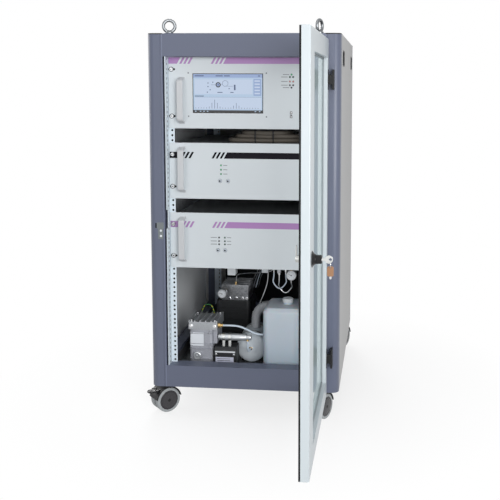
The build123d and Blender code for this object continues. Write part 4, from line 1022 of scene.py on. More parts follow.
class RACK_OT_units(RackOperator, bpy.types.Operator):
    """Dress the panels, chassis, handles and stripes of the three units"""
    bl_idname = "rack.units"
    bl_label = "Unit fronts"

    HALF_PANEL = 241
    BARS = ((-HALF_PANEL, -214), (-207, -200), (-194, -187), (-181, -174),
            (-107, -100), (-94, -87), (-81, -74), (-68, HALF_PANEL))
    BANDS = (("upper_unit_panel", 0.6, "purple"), ("generator_panel", 29, "ink"),
             ("lower_unit_panel", 27.5, "purple"))
    # The dark layers are painted shade: a ring round each washer and a spot in each screw's socket.
    SCREW_LAYERS = (("washer_shadows", 0, "recess", 7.8, 0.2, 7.8, 32, "black_plastic"),
                    ("screw_washers", 0, "bright", 6.8, 1.6, 5.4, 32, "zinc_steel"),
                    ("screw_heads", 1.6, "bright", 4.8, 2.2, 3.9, 28, "zinc_steel"),
                    ("screw_sockets", 3.7, "recess", 2.1, 0.25, 2.1, 6, "black_plastic"))
    SLOT_HALF, SLOT_RISE, SLOT_MORE = 9.0, 3.3, 3.5
    RIGHT_HANDLE_SHIFT = 5
    SOCKET = (144.6, 971.6)

    def make(self, scene):
        for node in PANELS:
            dress(node, "panel", edge=0.5)
            dress(node.replace("panel", "chassis"), "sheet", edge=0.3)
        self.stripes(scene.rack_sizes)
        self.screws()
        self.handles()
        self.socket()

    def stripes(self, sizes):
        """A band across each panel, broken by slanted bars either side of a bare space."""
        height, lean = sizes.band_height / MM, sizes.band_lean / MM
        for node, drop, finish in self.BANDS:
            top = span(node)[1].z - drop
            piece = Piece(node + "_band")
            for left, right in self.BARS:
                start = 0 if left == -self.HALF_PANEL else lean
                end = 0 if right == self.HALF_PANEL else lean
                outline = ((left, top - height), (right, top - height), (right + end, top), (left + start, top))
                piece.prism(outline, upright(PANEL_FRONT), 0.2, finish)
            piece.done("cabinet", "unit_panel_paint")

    def screws(self):
        """Cup washers and screw heads in the oval holes, with painted shade round each washer, in each screw's socket
        and in the holes.
        """
        places = []
        for node, units in PANELS.items():
            foot = span(node)[0].z
            for side in (-1, 1):
                for height in (HOLE_FIRST + 2 * HOLE_STEP, (units - 1) * RACK_UNIT + HOLE_FIRST):
                    places.append(Vector((side * HOLE_COLUMN, PANEL_FRONT, foot + height)))
        for name, rise, finish, radius, height, crown, sides, slot in self.SCREW_LAYERS:
            raised = [place + rise * Vector(FRONT) for place in places]
            studs(name, raised, "cabinet", finish, radius, height, crown, sides, FRONT, slot)
        # Dark plates in the oval holes, longer towards the middle of the panel: painted shade.
        slots = Piece("oval_slot_shadows")
        for place in places:
            left, right = (self.SLOT_MORE, 0) if place.x > 0 else (0, self.SLOT_MORE)
            slots.plate((place.x - self.SLOT_HALF - left, place.x + self.SLOT_HALF + right),
                        (place.z - self.SLOT_RISE, place.z + self.SLOT_RISE), 3.2, PANEL_FRONT, 0.15, "recess")
        slots.done("cabinet", "black_plastic")
        low, high = span("touch_screen")
        corners = [(x, PANEL_FRONT, z) for x in (low.x - 7.5, high.x + 4.5) for z in (low.z - 4.5, high.z - 4.5)]
        studs("screen_screws", corners, "cabinet", "caption", 2.4, 0.7, 1.7, 20, FRONT, "zinc_steel")

    def handles(self):
        """Bent strip bows with round corners."""
        strip = 4.0
        piece = Piece("bent_handles")
        for middle, size in solids_of("panel_handles"):
            middle.x += self.RIGHT_HANDLE_SHIFT if middle.x > 0 else 0
            left, right = middle.x - size.x / 2, middle.x + size.x / 2
            foot, reach, tip = size.z / 2, size.y, size.z / 2 - 10
            corners = ((0, -foot), (reach, -tip), (reach, tip), (0, foot), (0, foot - 4.8),
                       (reach - strip, tip - 3.6), (reach - strip, 3.6 - tip), (0, 4.8 - foot))
            outline = rounded(corners, (0, 9, 9, 0, 0, 5, 5, 0))
            place = Matrix(((0, 0, 1, left), (-1, 0, 0, PANEL_FRONT), (0, 1, 0, middle.z), (0, 0, 0, 1)))
            piece.prism(outline, place, size.x, "handle", 1.1, 3)
            for end in (-1, 1):
                z = middle.z + end * (foot - 3.5)
                piece.box((left - 0.6, right + 0.6), (PANEL_FRONT - 1.2, PANEL_FRONT), (z - 4.2, z + 4.2),
                          "handle", 0.5)
        piece.done("cabinet", "handle_paint", ["panel_handles"])

    def socket(self):
        """Two stacked data sockets on the upper unit; each opening is a dark plate of painted shade, with a bright
        contact in it.
        """
        x, z = self.SOCKET
        piece = Piece("data_sockets")
        piece.plate((x - 6, x + 6), (z - 13, z + 13), 2.5, PANEL_FRONT, 0.8, "panel", 0.3)
        for level in (z - 5.6, z + 5.6):
            piece.plate((x - 3.4, x + 3.4), (level - 4.4, level + 4.4), 1.6, PANEL_FRONT - 0.8, 0.3, "recess")
            piece.box((x - 1.1, x + 1.1), (PANEL_FRONT - 1.5, PANEL_FRONT - 1.0), (level - 2.8, level + 2.8),
                      "bright", 0.2)
        piece.done("cabinet", "black_plastic")


class RACK_OT_screen(RackOperator, bpy.types.Operator):
    """Light the touch screen"""
    bl_idname = "rack.screen"
    bl_label = "Touch screen"

    MARGIN = 6.0
    LAYER = 0.07
    # Left, right, top and bottom as shares of the lit area, then the finish and the layer.
    AREAS = ((0.010, 0.990, 0.015, 0.985, "screen_body", 1), (0.010, 0.990, 0.015, 0.105, "screen_bar", 2),
             (0.010, 0.990, 0.925, 0.985, "screen_dark", 2), (0.030, 0.850, 0.150, 0.520, "screen_pane", 2),
             (0.865, 0.975, 0.130, 0.560, "screen_bar", 2), (0.030, 0.975, 0.600, 0.900, "screen_pane", 2),
             *((start, start + length, 0.048, 0.072, "screen_mark", 3)
               for start, length in ((0.03, 0.13), (0.33, 0.10), (0.45, 0.08), (0.93, 0.03))),
             *((start, start + 0.022, 0.945, 0.965, "screen_body", 3)
               for start in (0.03, 0.10, 0.15, 0.20, 0.88, 0.94)),
             *((0.880, 0.955, 0.170 + 0.078 * row, 0.205 + 0.078 * row, "screen_pane", 3) for row in range(5)),
             (0.030, 0.160, 0.560, 0.580, "screen_mark", 2), (0.030, 0.975, 0.594, 0.598, "screen_mark", 2))
    # The trace: each peak's place, width and height.
    PEAKS = ((7, 1.4, 0.20), (15, 1.1, 0.12))
    # The flow diagram: place, radius, finish and height of each spot, and place and size of each bar.
    SPOTS = ((0.365, 0.285, 8.2, "screen_dark", 0.08), (0.365, 0.285, 5.0, "screen_bar", 0.14),
             (0.365, 0.285, 2.2, "screen_mark", 0.2), (0.465, 0.250, 9.4, "screen_mark", 0.08),
             (0.465, 0.250, 8.4, "screen_pane", 0.14),
             *((across, down, 1.8, "screen_mark", 0.08) for across, down in (
                 (0.22, 0.24), (0.22, 0.33), (0.25, 0.41), (0.21, 0.47), (0.52, 0.38), (0.29, 0.22))))
    BARS = ((0.60, 0.35, 5.0, 17.0), (0.31, 0.285, 22.0, 0.8), (0.415, 0.27, 7.0, 0.8),
            (0.53, 0.32, 20.0, 0.8), (0.39, 0.475, 16.0, 2.4), (0.56, 0.475, 10.0, 2.4))

    def make(self, scene):
        low, high = span("touch_screen")
        self.left, self.top = low.x + self.MARGIN, high.z - self.MARGIN
        self.width, self.height = high.x - low.x - 2 * self.MARGIN, high.z - low.z - 2 * self.MARGIN
        piece = Piece("lit_screen")
        piece.copy_of("touch_screen", "gloss_black", 0.4)
        for area in self.AREAS:
            self.area(piece, *area)
        for step in range(24):
            start = 0.04 + 0.0385 * step
            rise = 0.02 + sum(tall * math.exp(-((step - place) / wide) ** 2) for place, wide, tall in self.PEAKS)
            self.area(piece, start, start + 0.006, 0.880 - rise, 0.884, "screen_mark", 3)
        self.diagram(piece)
        piece.done("cabinet", "screen", ["touch_screen"])

    def point(self, across, down):
        """A place on the lit area, from shares of its width and height from its upper left corner."""
        return self.left + across * self.width, self.top - down * self.height

    def area(self, piece, left, right, top, bottom, finish, layer):
        """A flat patch, on so many layers below it."""
        (x_low, z_high), (x_high, z_low) = self.point(left, top), self.point(right, bottom)
        face = PANEL_FRONT - self.LAYER * (layer - 1)
        piece.plate((x_low, x_high), (z_low, z_high), 0.2, face, self.LAYER, finish, steps=1)

    def diagram(self, piece):
        """A plain flow diagram: two round vessels, a bar gauge, dots and connecting lines."""
        face = PANEL_FRONT - 2 * self.LAYER
        for across, down, radius, finish, rise in self.SPOTS:
            x, z = self.point(across, down)
            piece.disc(radius, rise, (x, face, z), FRONT, finish, 40)
        for across, down, wide, high in self.BARS:
            x, z = self.point(across, down)
            piece.box((x - wide / 2, x + wide / 2), (face - 0.08, face), (z - high / 2, z + high / 2), "screen_mark")


class RACK_OT_controls(RackOperator, bpy.types.Operator):
    """Set the lamps and push buttons into the panels"""
    bl_idname = "rack.controls"
    bl_label = "Lamps and buttons"

    LENS = ((0, 0), (2.4, 0), (2.4, 0.8), (2.1, 1.6), (1.3, 2.2), (0, 2.5))
    UPPER_LAMPS = ("lamp_green", "lamp_dim", "lamp_dim", "lamp_red", "lamp_red", "lamp_off", "lamp_off", "lamp_off")
    LOWER_LAMPS = ("lamp_dim", "lamp_off")
    LEFT_DASH, RIGHT_DASH = (-27, -7), (7, 20)

    def make(self, scene):
        self.lamps()
        for unit in ("generator", "lower"):
            for side in ("left", "right"):
                self.button(f"{unit}_button_{side}")

    def lamps(self):
        """A lens for each lamp, in a collar of its own."""
        foot, top = (corner.z for corner in span("generator_panel"))
        piece = Piece("lamp_lenses")
        places = []
        for number, (middle, _) in enumerate(solids_of("indicator_lamps")):
            if middle.z > top:
                finish = self.UPPER_LAMPS[number % len(self.UPPER_LAMPS)]
            elif middle.z > foot:
                finish = "lamp_green"
            else:
                finish = self.LOWER_LAMPS[number % len(self.LOWER_LAMPS)]
            places.append(Vector((middle.x, PANEL_FRONT, middle.z)))
            piece.turned(self.LENS, places[-1], FRONT, finish, 24)
        piece.done("cabinet", "lamp", ["indicator_lamps"])
        self.captions(places, foot, top)
        studs("lamp_collars", places, "cabinet", "caption", 3.1, 0.5, 2.8, 24, FRONT, "black_plastic")

    def captions(self, lamps, foot, top):
        """Short plain dashes beside the lamps, in place of words; foot and top are the middle unit's."""
        piece = Piece("lamp_captions")
        for place in lamps:
            row = [other.x for other in lamps if abs(other.z - place.z) < 3]
            left = place.x == min(row) and (place.z > top or place.z < foot)
            if place.z > top and not left:
                continue
            start, end = self.LEFT_DASH if left else self.RIGHT_DASH
            piece.box((place.x + start, place.x + end), (PANEL_FRONT - 0.15, PANEL_FRONT),
                      (place.z - 0.9, place.z + 0.9), "caption")
        piece.done("cabinet", "unit_panel_paint")

    def button(self, node):
        """A pale cap with a dark dot, and the thin collar that it slides in."""
        low, high = span(node)
        middle = (low + high) / 2
        radius = (high.x - low.x) / 2
        dot, face = radius - 2.2, high.y - low.y - 1.1
        piece = Piece(node + "_cap")
        piece.turned([(0, 0), (radius, 0), (radius, face - 0.5), (radius - 0.5, face), (dot, face), (0, face)],
                     (middle.x, high.y, middle.z), FRONT, "rear_rail", 36)
        piece.turned([(0, 0), (dot, 0), (dot, 0.9), (dot - 0.5, 1.1), (0, 0.8)],
                     (middle.x, high.y - face, middle.z), FRONT, "gloss_black", 36)
        piece.done(node, "button_black", [node])
        collar = Piece(node + "_collar")
        collar.collar(radius + 0.5, radius + 1.3, 0.5, (middle.x, PANEL_FRONT, middle.z), FRONT, "caption", 36)
        collar.done("cabinet", "black_plastic")


class RACK_OT_insides(RackOperator, bpy.types.Operator):
    """Finish the pieces that are closed in by the chassis"""
    bl_idname = "rack.insides"
    bl_label = "Inner pieces"

    def make(self, scene):
        for node, finish in (("column_ovens", "oven"), ("capillary_columns", "winding"), ("detectors", "turned"),
                             ("electronics_boards", "circuit"), ("electrolysis_stack", "zinc")):
            paint(node, finish)


class RACK_OT_door(RackOperator, bpy.types.Operator):
    """Dress the door, its hinges and its seal"""
    bl_idname = "rack.door"
    bl_label = "Door"

    def make(self, scene):
        dress("door_frame", "door", "door", 0.7)
        dress("door_gasket", "seal", "door", 0.8)
        dress("door_hinge_leaves", "black", "door", 0.4)
        dress("hinge_brackets", "black", "cabinet", 0.5)
        paint("door_glass", "glass")
        self.bead()
        self.edge_trim()

    def edge_trim(self):
        """A dark strip clipped over the inner corner of the free edge."""
        low, high = span("door_frame")
        reach, z = 2.4, (low.z + 1, high.z - 1)
        piece = Piece("edge_trim")
        piece.box((low.x - reach, low.x + reach), (low.y - 0.4, low.y + 0.1), z, "seal")
        piece.box((low.x - reach, low.x), (low.y, low.y + 14), z, "seal", 0.6)
        piece.done("door", "rubber_black")

    def bead(self):
        """The bead that holds the glass, as four strips round it."""
        low, high = span("door_glass")
        inset, wide = 6, 5
        (y0, y1), (z0, z1) = ((low[n] + inset, high[n] - inset) for n in (1, 2))
        piece = Piece("glazing_bead")
        for y, z in (((y0, y0 + wide), (z0, z1)), ((y1 - wide, y1), (z0, z1)),
                     ((y0 + wide, y1 - wide), (z0, z0 + wide)), ((y0 + wide, y1 - wide), (z1 - wide, z1))):
            piece.box((high.x + 0.05, high.x + 3.0), y, z, "bead_seal", 0.8)
        piece.done("door", "rubber_black")


class RACK_OT_lock(RackOperator, bpy.types.Operator):
    """Shape the latch, the key and its ring"""
    bl_idname = "rack.lock"
    bl_label = "Latch and keys"

    FLARE = ((9.2, 0), (20, 0), (20, 1.2), (17.5, 2.8), (13.6, 6.4), (12.2, 9.4), (11.2, 9.4),
             (11.2, 5.0), (9.2, 5.0))
    KEY_RIM = ((4.6, 0), (6.2, 0), (6.2, 0.8), (5.8, 1.2), (4.6, 1.2))
    BARREL = 9
    LOOP_RADIUS = 11.9
    RING_SCALE = 0.74

    def make(self, scene):
        y, z = LOCK_AXIS.y, LOCK_AXIS.z
        rosette = Piece("latch_flare")
        rosette.turned(self.FLARE, (DOOR_FACE, y, z), RIGHT, "gloss_black", 56, hollow=True)
        rosette.done("door", "black_plastic", ["latch_rosette"])
        self.knob(y, z)
        dress("latch_cam", "zinc", "latch", 0.4)
        dress("door_key", "zinc", "key", 0.35)
        self.ring(y)

    def knob(self, y, z):
        """The barrel through the door, with the flat grip across its outer end."""
        low, high = span("latch_knob")
        wall, rim, size = span("door_frame")[0].x - low.x, DOOR_FACE - low.x, self.BARREL
        knob = Piece("latch_grip")
        knob.turned([(0, 0), (5, 0.5), (5, 5), (size, 5), (size, wall), (0, wall)], (low.x, y, z), RIGHT, "zinc", 40)
        knob.turned([(0, wall), (size, wall), (size, rim + 5.3), (10.5, rim + 5.3), (10.5, rim + 9.5),
                     (9.4, rim + 10.6), (0, rim + 10.6)], (low.x, y, z), RIGHT, "gloss_black", 40)
        grip = rounded_rectangle((z - 10.5, z + 10.5), (DOOR_FACE + 8, high.x), 3.5)
        place = Matrix(((0, 1, 0, 0), (0, 0, 1, y - 6), (1, 0, 0, 0), (0, 0, 0, 1)))
        knob.prism(grip, place, 12, "gloss_black", 1.6, 3)
        knob.turned(self.KEY_RIM, (high.x - 1.0, y, z), RIGHT, "bright", 32, hollow=True)
        knob.done("latch", "black_plastic", ["latch_knob"])

    def ring(self, y):
        """The ring with its fob and spare key, drawn smaller and with the fob to the front."""
        loop = min(solids_of("key_ring"), key=lambda item: abs(item[0].y - y))[0]

        def finish(middle):
            if abs(middle.y - y) < 0.2:
                return None
            return "leather" if middle.y > y else "bright"

        ring = Piece("keys_on_ring")
        ring.ring(loop, RIGHT, self.LOOP_RADIUS, 0.8, "bright", 48, 12)
        ring.copy_of("key_ring", "bright", 0.5, finish)
        hook = loop + Vector((0, 0, self.LOOP_RADIUS))
        scale = Matrix.Diagonal((self.RING_SCALE, -self.RING_SCALE, self.RING_SCALE, 1))
        small = Matrix.Translation(hook) @ scale @ Matrix.Translation(-hook)
        bmesh.ops.transform(ring.bm, matrix=small, verts=ring.bm.verts)
        bmesh.ops.reverse_faces(ring.bm, faces=ring.bm.faces)
        ring.done("key_ring", "key_metal", ["key_ring"])


class RACK_OT_casters(RackOperator, bpy.types.Operator):
    """Turn the wheels and dress the forks, plates and brakes"""
    bl_idname = "rack.casters"
    bl_label = "Casters"

    HEADINGS = {"front_left": 223.0, "front_right": 245.0, "rear_left": 112.0, "rear_right": 68.0}
    ACROSS, ALONG = 250, 325
    BOLT_HALF = 26
    TRAIL, AXLE_HEIGHT = 30.0, 40.0
    WHEEL_START, HUB_START = 5.3, 27.8
    TYRE = ((31.4, 0.6), (33, 0.2), (37.6, 0), (39.3, 0.8), (40, 2.6), (40, 17.8), (39.3, 19.6), (37.6, 20.6),
            (33, 20.7), (31.4, 20.2))
    DISC = ((0, 0.3), (31.4, 0.3), (31.4, 20.2), (30, 21.0), (28.2, 21.0), (27.6, 20.2), (26.4, 20.2),
            (25.8, 21.3), (18, 22.3), (9, 22.7), (0, 22.8))
    RACE = ((8, 0), (19, 0), (20.5, 1.2), (20.5, 3.4), (19, 4.6), (8, 4.6))
    HUB = ((0, 0), (5.0, 0), (5.0, 0.5), (3.6, 1.0), (0, 1.2))

    def make(self, scene):
        dress("caster_plates", "zinc", edge=0.5)
        bolts = Piece("plate_bolts")
        deck = span("caster_plates")[1].z - 3.5
        for name, heading in self.HEADINGS.items():
            x = self.ACROSS if name.endswith("right") else -self.ACROSS
            y = -self.ALONG if name.startswith("front") else self.ALONG
            for across in (-self.BOLT_HALF, self.BOLT_HALF):
                for along in (-self.BOLT_HALF, self.BOLT_HALF):
                    bolts.bolt((x + across, y + along, deck), DOWN, 4.2, 3.6)
            turn = Matrix.Translation((x, y, 0)) @ Matrix.Rotation(radians(heading), 4, "Z")
            axle = turn @ Vector((self.TRAIL, 0, self.AXLE_HEIGHT))
            side = turn.to_3x3() @ Vector(BACK)
            self.fork(name, turn)
            self.wheels(name, axle, side)
            if "brake_pedal_" + name in frame["nodes"]:
                self.pedal(name, turn)
        bolts.done("cabinet", "caster_zinc")

    def fork(self, name, turn):
        """The black hood and the bright race that it turns in."""
        top = span("caster_housing_" + name)[1].z - 4.7
        piece = Piece("fork_" + name)
        piece.copy_of("caster_housing_" + name, "black", 0.7)
        piece.turned(self.RACE, turn @ Vector((0, 0, top)), UP, "zinc", 40, hollow=True)
        piece.done("swivel_" + name, "black_plastic", ["caster_housing_" + name])

    def wheels(self, name, axle, side):
        """Two grey tyres on dark dished discs, with their hub caps."""
        hubs = Piece("hub_caps_" + name)
        piece = Piece("wheel_pair_" + name)
        for way in (-1, 1):
            hubs.turned(self.HUB, axle + side * way * self.HUB_START, side * way, "gloss_black", 24)
            start = axle + side * way * self.WHEEL_START
            piece.turned(self.TYRE, start, side * way, "tyre", 72, hollow=True)
            piece.turned(self.DISC, start, side * way, "disc", 72)
        hubs.done("wheels_" + name, "caster_zinc")
        piece.disc(4, 2 * self.WHEEL_START, axle - side * self.WHEEL_START, side, "zinc", 20)
        piece.done("wheels_" + name, "tyre_grey", ["caster_wheels_" + name])

    def pedal(self, name, turn):
        """The foot lever with three ridges across its tip."""
        piece = Piece("foot_lever_" + name)
        piece.copy_of("brake_pedal_" + name, "black", 0.6)
        for x in (78, 82, 86):
            piece.box((x, x + 1.6), (-9, 9), (75.2, 76.4), "black", 0.3, turn=turn)
        piece.done("brake_" + name, "black_plastic", ["brake_pedal_" + name])


class RACK_OT_supply(RackOperator, bpy.types.Operator):
    """Dress the compressors, tank, filter, canister and gauges in the bay"""
    bl_idname = "rack.supply"
    bl_label = "Supply bay"

    COVER = ((0, 0), (13, 0), (13, 3), (10, 4.2), (8, 3.6), (3, 3.6), (2.4, 4.6), (0, 4.8))
    COVER_SEAT = ((0, 0), (16, 0), (17, -0.8), (17, -2.4), (0, -2.4))
    BODY_BOLTS = ((-190, 254), (-129, 254), (-190, 206), (-129, 206), (-189, 139), (-131, 139))
    FIN_TOP, FIN_SHARE = 14, 0.3
    FILTER_RADIUS = 11.5
    FILTER = ((0, 0), (8.5, 0), (9.4, 1), (9.4, 5), (8.0, 5.6), (8.0, 7.4), (11.5, 8.2), (11.5, 45),
              (11.0, 45.6), (11.0, 46.8), (11.5, 47.4), (11.5, 90.6), (10.9, 91.4), (10.9, 92.8),
              (8.2, 93.4), (8.2, 98.6), (9.6, 99.2), (9.6, 106), (8.6, 108.5), (0, 109))
    TANK_RADIUS = 50.0
    TANK_FLANGE = ((0, 0), (16, 0), (16, 3), (14.5, 4), (14.5, 5.8), (0, 5.8))
    CAN_HEIGHT, CAN_SHOULDER = 215, 9.0
    CAP_RADIUS, CAP_RIBS = 18, 72
    CAP_TOP = ((0, 0), (17, 0), (16.4, 1.6), (12, 2.2), (11, 1.6), (0, 1.6))
    PUMP_HEAD = 158
    DIAL_CASE = ((0, 2), (13.6, 2), (13.6, 0), (15.4, 0), (16, 0.8), (16, 20), (14, 22), (0, 22))

    def make(self, scene):
        self.compressor()
        self.compressor_head()
        self.control_box()
        self.air_filter()
        self.tank()
        self.canister()
        self.rear_compressor()
        self.gauges()

    def compressor(self):
        """The cast body, with seams, bolts, a blank label and a round cover."""
        low = span("compressor_body")[0]
        piece = Piece("compressor_casting")
        piece.copy_of("compressor_body", "casting", 1.2)
        for z in (low.z + 34, low.z + 66, low.z + 84, low.z + 118):
            piece.box((-196, -123), (low.y - 1.0, low.y + 6), (z, z + 2.4), "casting", 0.5)
        for x, z in self.BODY_BOLTS:
            piece.bolt((x, low.y + 0.2, z), FRONT, 3.4, 2.6, "casting")
        piece.plate((-194, -150), (208, 253), 1.2, low.y, 0.5, "label")
        x, z = low.x + 0.35 * 77, low.z + 46
        piece.turned(self.COVER, (x, low.y - 4, z), FRONT, "turned", 44, 0.2)
        piece.turned(self.COVER_SEAT, (x, low.y + 0.4, z), FRONT, "casting", 44)
        for x in (-178, -142):
            piece.turned([(0, 0), (11, 0), (11, 5), (9, 8), (0, 8)], (x, low.y + 20, low.z), UP, "seal", 24)
        piece.done("cabinet", "compressor_paint", ["compressor_body"])

    def compressor_head(self):
        """The finned head: its fins squashed, its corners bolted and its front ribbed."""
        low, high = span("compressor_head")
        piece = Piece("compressor_head_casting")
        piece.copy_of("compressor_head", "head", 0.9)
        root = high.z - self.FIN_TOP
        for vert in piece.bm.verts:
            if vert.co.z > root:
                vert.co.z = root + (vert.co.z - root) * self.FIN_SHARE
        for x in (low.x + 9, high.x - 9):
            for y in (low.y + 9, high.y - 9):
                piece.bolt((x, y, low.z + 26), UP, 4.2, 4.5)
            piece.bolt((x, low.y + 0.2, low.z + 13), FRONT, 4.2, 3.6)
        for step in range(9):
            x = low.x + 22 + step * 6.2
            piece.box((x, x + 2.4), (low.y - 0.9, low.y + 2), (low.z + 3, low.z + 23), "head", 0.4)
        piece.done("cabinet", "head_metal", ["compressor_head"])

    def control_box(self):
        """The black motor box, with a blank label, a pale strip and ribs."""
        low, high = span("control_box")
        piece = Piece("motor_box")
        piece.copy_of("control_box", "pump", 1.6)
        piece.box((low.x + 3, high.x - 3), (low.y - 1.2, low.y + 1), (high.z - 17, high.z - 12), "white", 0.4)
        for x in (low.x + 7, high.x - 7):
            for z in (high.z - 23, low.z + 8):
                piece.bolt((x, low.y, z), FRONT, 3.0, 1.8)
        piece.plate((low.x + 5, high.x - 8), (low.z + 20, low.z + 44), 1.0, low.y, 0.4, "lilac")
        for z in (low.z + 26, low.z + 32, low.z + 38):
            piece.box((low.x + 9, high.x - 20), (low.y - 0.6, low.y - 0.3), (z, z + 1.2), "pump")
        for z in (low.z + 4, low.z + 12, low.z + 50):
            piece.box((low.x + 3, high.x - 3), (low.y - 0.8, low.y + 1), (z, z + 1.6), "pump", 0.4)
        piece.done("cabinet", "pump_black", ["control_box"])

    def air_filter(self):
        """The bright cylinder on two clamps, with the nut that its drain leaves by."""
        low, high = span("filter_cylinder")
        radius = self.FILTER_RADIUS
        y, z = (low.y + high.y) / 2, high.z - radius
        piece = Piece("filter_housing")
        piece.turned(self.FILTER, (low.x, y, z), RIGHT, "turned", 56)
        for x in (low.x + 14, low.x + 34):
            piece.collar(radius, radius + 0.9, 8, (x, y, z), RIGHT, "zinc", 40)
            piece.box((x, x + 8), (y - 6, y + 6), (low.z, z - 11), "zinc", 0.4)
        port = sum(corner.x for corner in span("air_reservoir")) / 2
        piece.disc(5.2, 6, (port, y, z - 12.4), UP, "brass", 6, 0.4)
        piece.done("cabinet", "filter_metal", ["filter_cylinder"])

    def tank(self):
        """A tank with domed ends, weld seams, straps on feet and two flanges on its crown."""
        low, high = span("air_reservoir")
        radius, length = self.TANK_RADIUS, high.y - low.y
        x, z = (low.x + high.x) / 2, low.z + 2 + radius
        dome = [(radius * sin(radians(a)), 15 - 15 * cos(radians(a))) for a in range(0, 91, 10)]
        seam = [(radius, 30), (radius + 0.8, 31), (radius + 0.8, 34), (radius, 35)]
        half = dome + seam
        piece = Piece("air_tank")
        piece.turned(half + [(out, length - along) for out, along in reversed(half)], (x, low.y, z), BACK, "tank", 72)
        for y in (low.y + 0.2 * length, low.y + 0.7 * length):
            piece.box((x - 35, x + 35), (y, y + 12), (low.z, z - 0.55 * radius), "pump", 0.6)
            piece.collar(radius, radius + 1.2, 12, (x, y, z), BACK, "zinc", 72)
        for place in ((x + 4, -164.0), (x, low.y + 0.75 * length)):
            piece.turned(self.TANK_FLANGE, (*place, z + radius - 4.8), UP, "turned", 40)
        piece.disc(6.5, 3.5, (x, low.y + 3.4, z), FRONT, "brass", 6, 0.4)
        piece.done("cabinet", "tank_paint", ["air_reservoir"])

    def canister(self):
        """A moulded can with round shoulders, a seam on each side and a ribbed screw cap."""
        low, high = span("water_canister")
        top = low.z + self.CAN_HEIGHT

        def finish(middle):
            return "canister" if middle.z < top + 2 else None

        def shoulder(line):
            return line.calc_face_angle(0) > EDGE_ANGLE and min(v.co.z for v in line.verts) > top - 1

        piece = Piece("water_can")
        piece.copy_of("water_canister", "canister", 4.0, finish, shoulder, self.CAN_SHOULDER)
        neck = (low.x + 0.52 * 142, low.y + 0.5 * 145)
        ribs = []
        for k in range(self.CAP_RIBS):
            turn, radius = 2 * pi * k / self.CAP_RIBS, self.CAP_RADIUS * (1 if k % 2 else 0.965)
            ribs.append((radius * cos(turn), radius * sin(turn)))
        piece.prism(ribs, Matrix.Translation((*neck, top + 5.0)), 11.5, "white", 0.4, 1)
        piece.turned(self.CAP_TOP, (*neck, top + 16.5), UP, "white", 56)
        for x in (low.x - 0.25, high.x + 0.25):
            piece.box((x - 0.35, x + 0.35), (low.y + 28, high.y - 28), (low.z + 40, low.z + 42), "canister", 0.3)
        piece.done("cabinet", "canister_plastic", ["water_canister"])

    def rear_compressor(self):
        """The dark second pump, with a bare metal head that is bolted down and ribs on its body."""
        low = span("rear_compressor")[0]
        split = low.z + self.PUMP_HEAD
        piece = Piece("rear_pump")
        piece.copy_of("rear_compressor", "pump", 0.8, lambda middle: "pump" if middle.z < split else "pump_head")
        for x in (-140, -56):
            for y in (-32, 60):
                piece.bolt((x, y, split + 28.5), UP, 4.4, 4.2)
        for x in (-142, -118, -94, -70, -56):
            piece.bolt((x, -42, split + 8), FRONT, 4.2, 4.0)
        for step in range(6):
            z = low.z + 30 + 20 * step
            piece.box((-152, -53), (-51.4, -49), (z, z + 3), "pump", 0.5)
        piece.done("cabinet", "pump_black", ["rear_compressor"])

    def gauges(self):
        """Round dials in bright cases, one stem from the back and one from the top."""
        piece = Piece("dial_gauges")
        rear, front = sorted((middle for middle, _ in solids_of("pressure_gauges")), key=lambda middle: middle.x)
        centre = Vector((rear.x, -92.0, 323.0))
        self.dial(piece, centre, centre + Vector((0, 22, 0)), BACK, 27.6)
        centre = Vector((front.x, -296.0, 446.75))
        self.dial(piece, centre, centre + Vector((0, 11, 15.4)), UP, 21.2)
        piece.done("cabinet", "gauge_white", ["pressure_gauges"])

    def dial(self, piece, centre, stem, direction, length):
        """A dial with a ring of strokes and a pointer, and its brass stem."""
        piece.turned(self.DIAL_CASE, centre, BACK, "turned", 56)
        piece.disc(13.5, 0.6, centre + Vector((0, 1.9, 0)), FRONT, "white", 48)
        strokes = [(225 - 27 * step, (9.4, 12.2), (1.0, 1.4), 0.3) for step in range(11)]
        for degrees, reach, depth, half in (*strokes, (160, (-2, 9.2), (0.6, 1.0), 0.45)):
            turn = Matrix.Translation(centre) @ Matrix.Rotation(-radians(degrees), 4, "Y")
            piece.box(reach, depth, (-half, half), "ink", turn=turn)
        piece.turned([(0, 0), (1.7, 0), (1.2, 0.8), (0, 0.9)], centre + Vector((0, 0.6, 0)), FRONT, "ink", 20)
        piece.turned([(0, 0), (5, 0), (5, 9), (3.6, 9), (3.6, length), (0, length)], stem, direction, "brass", 24)


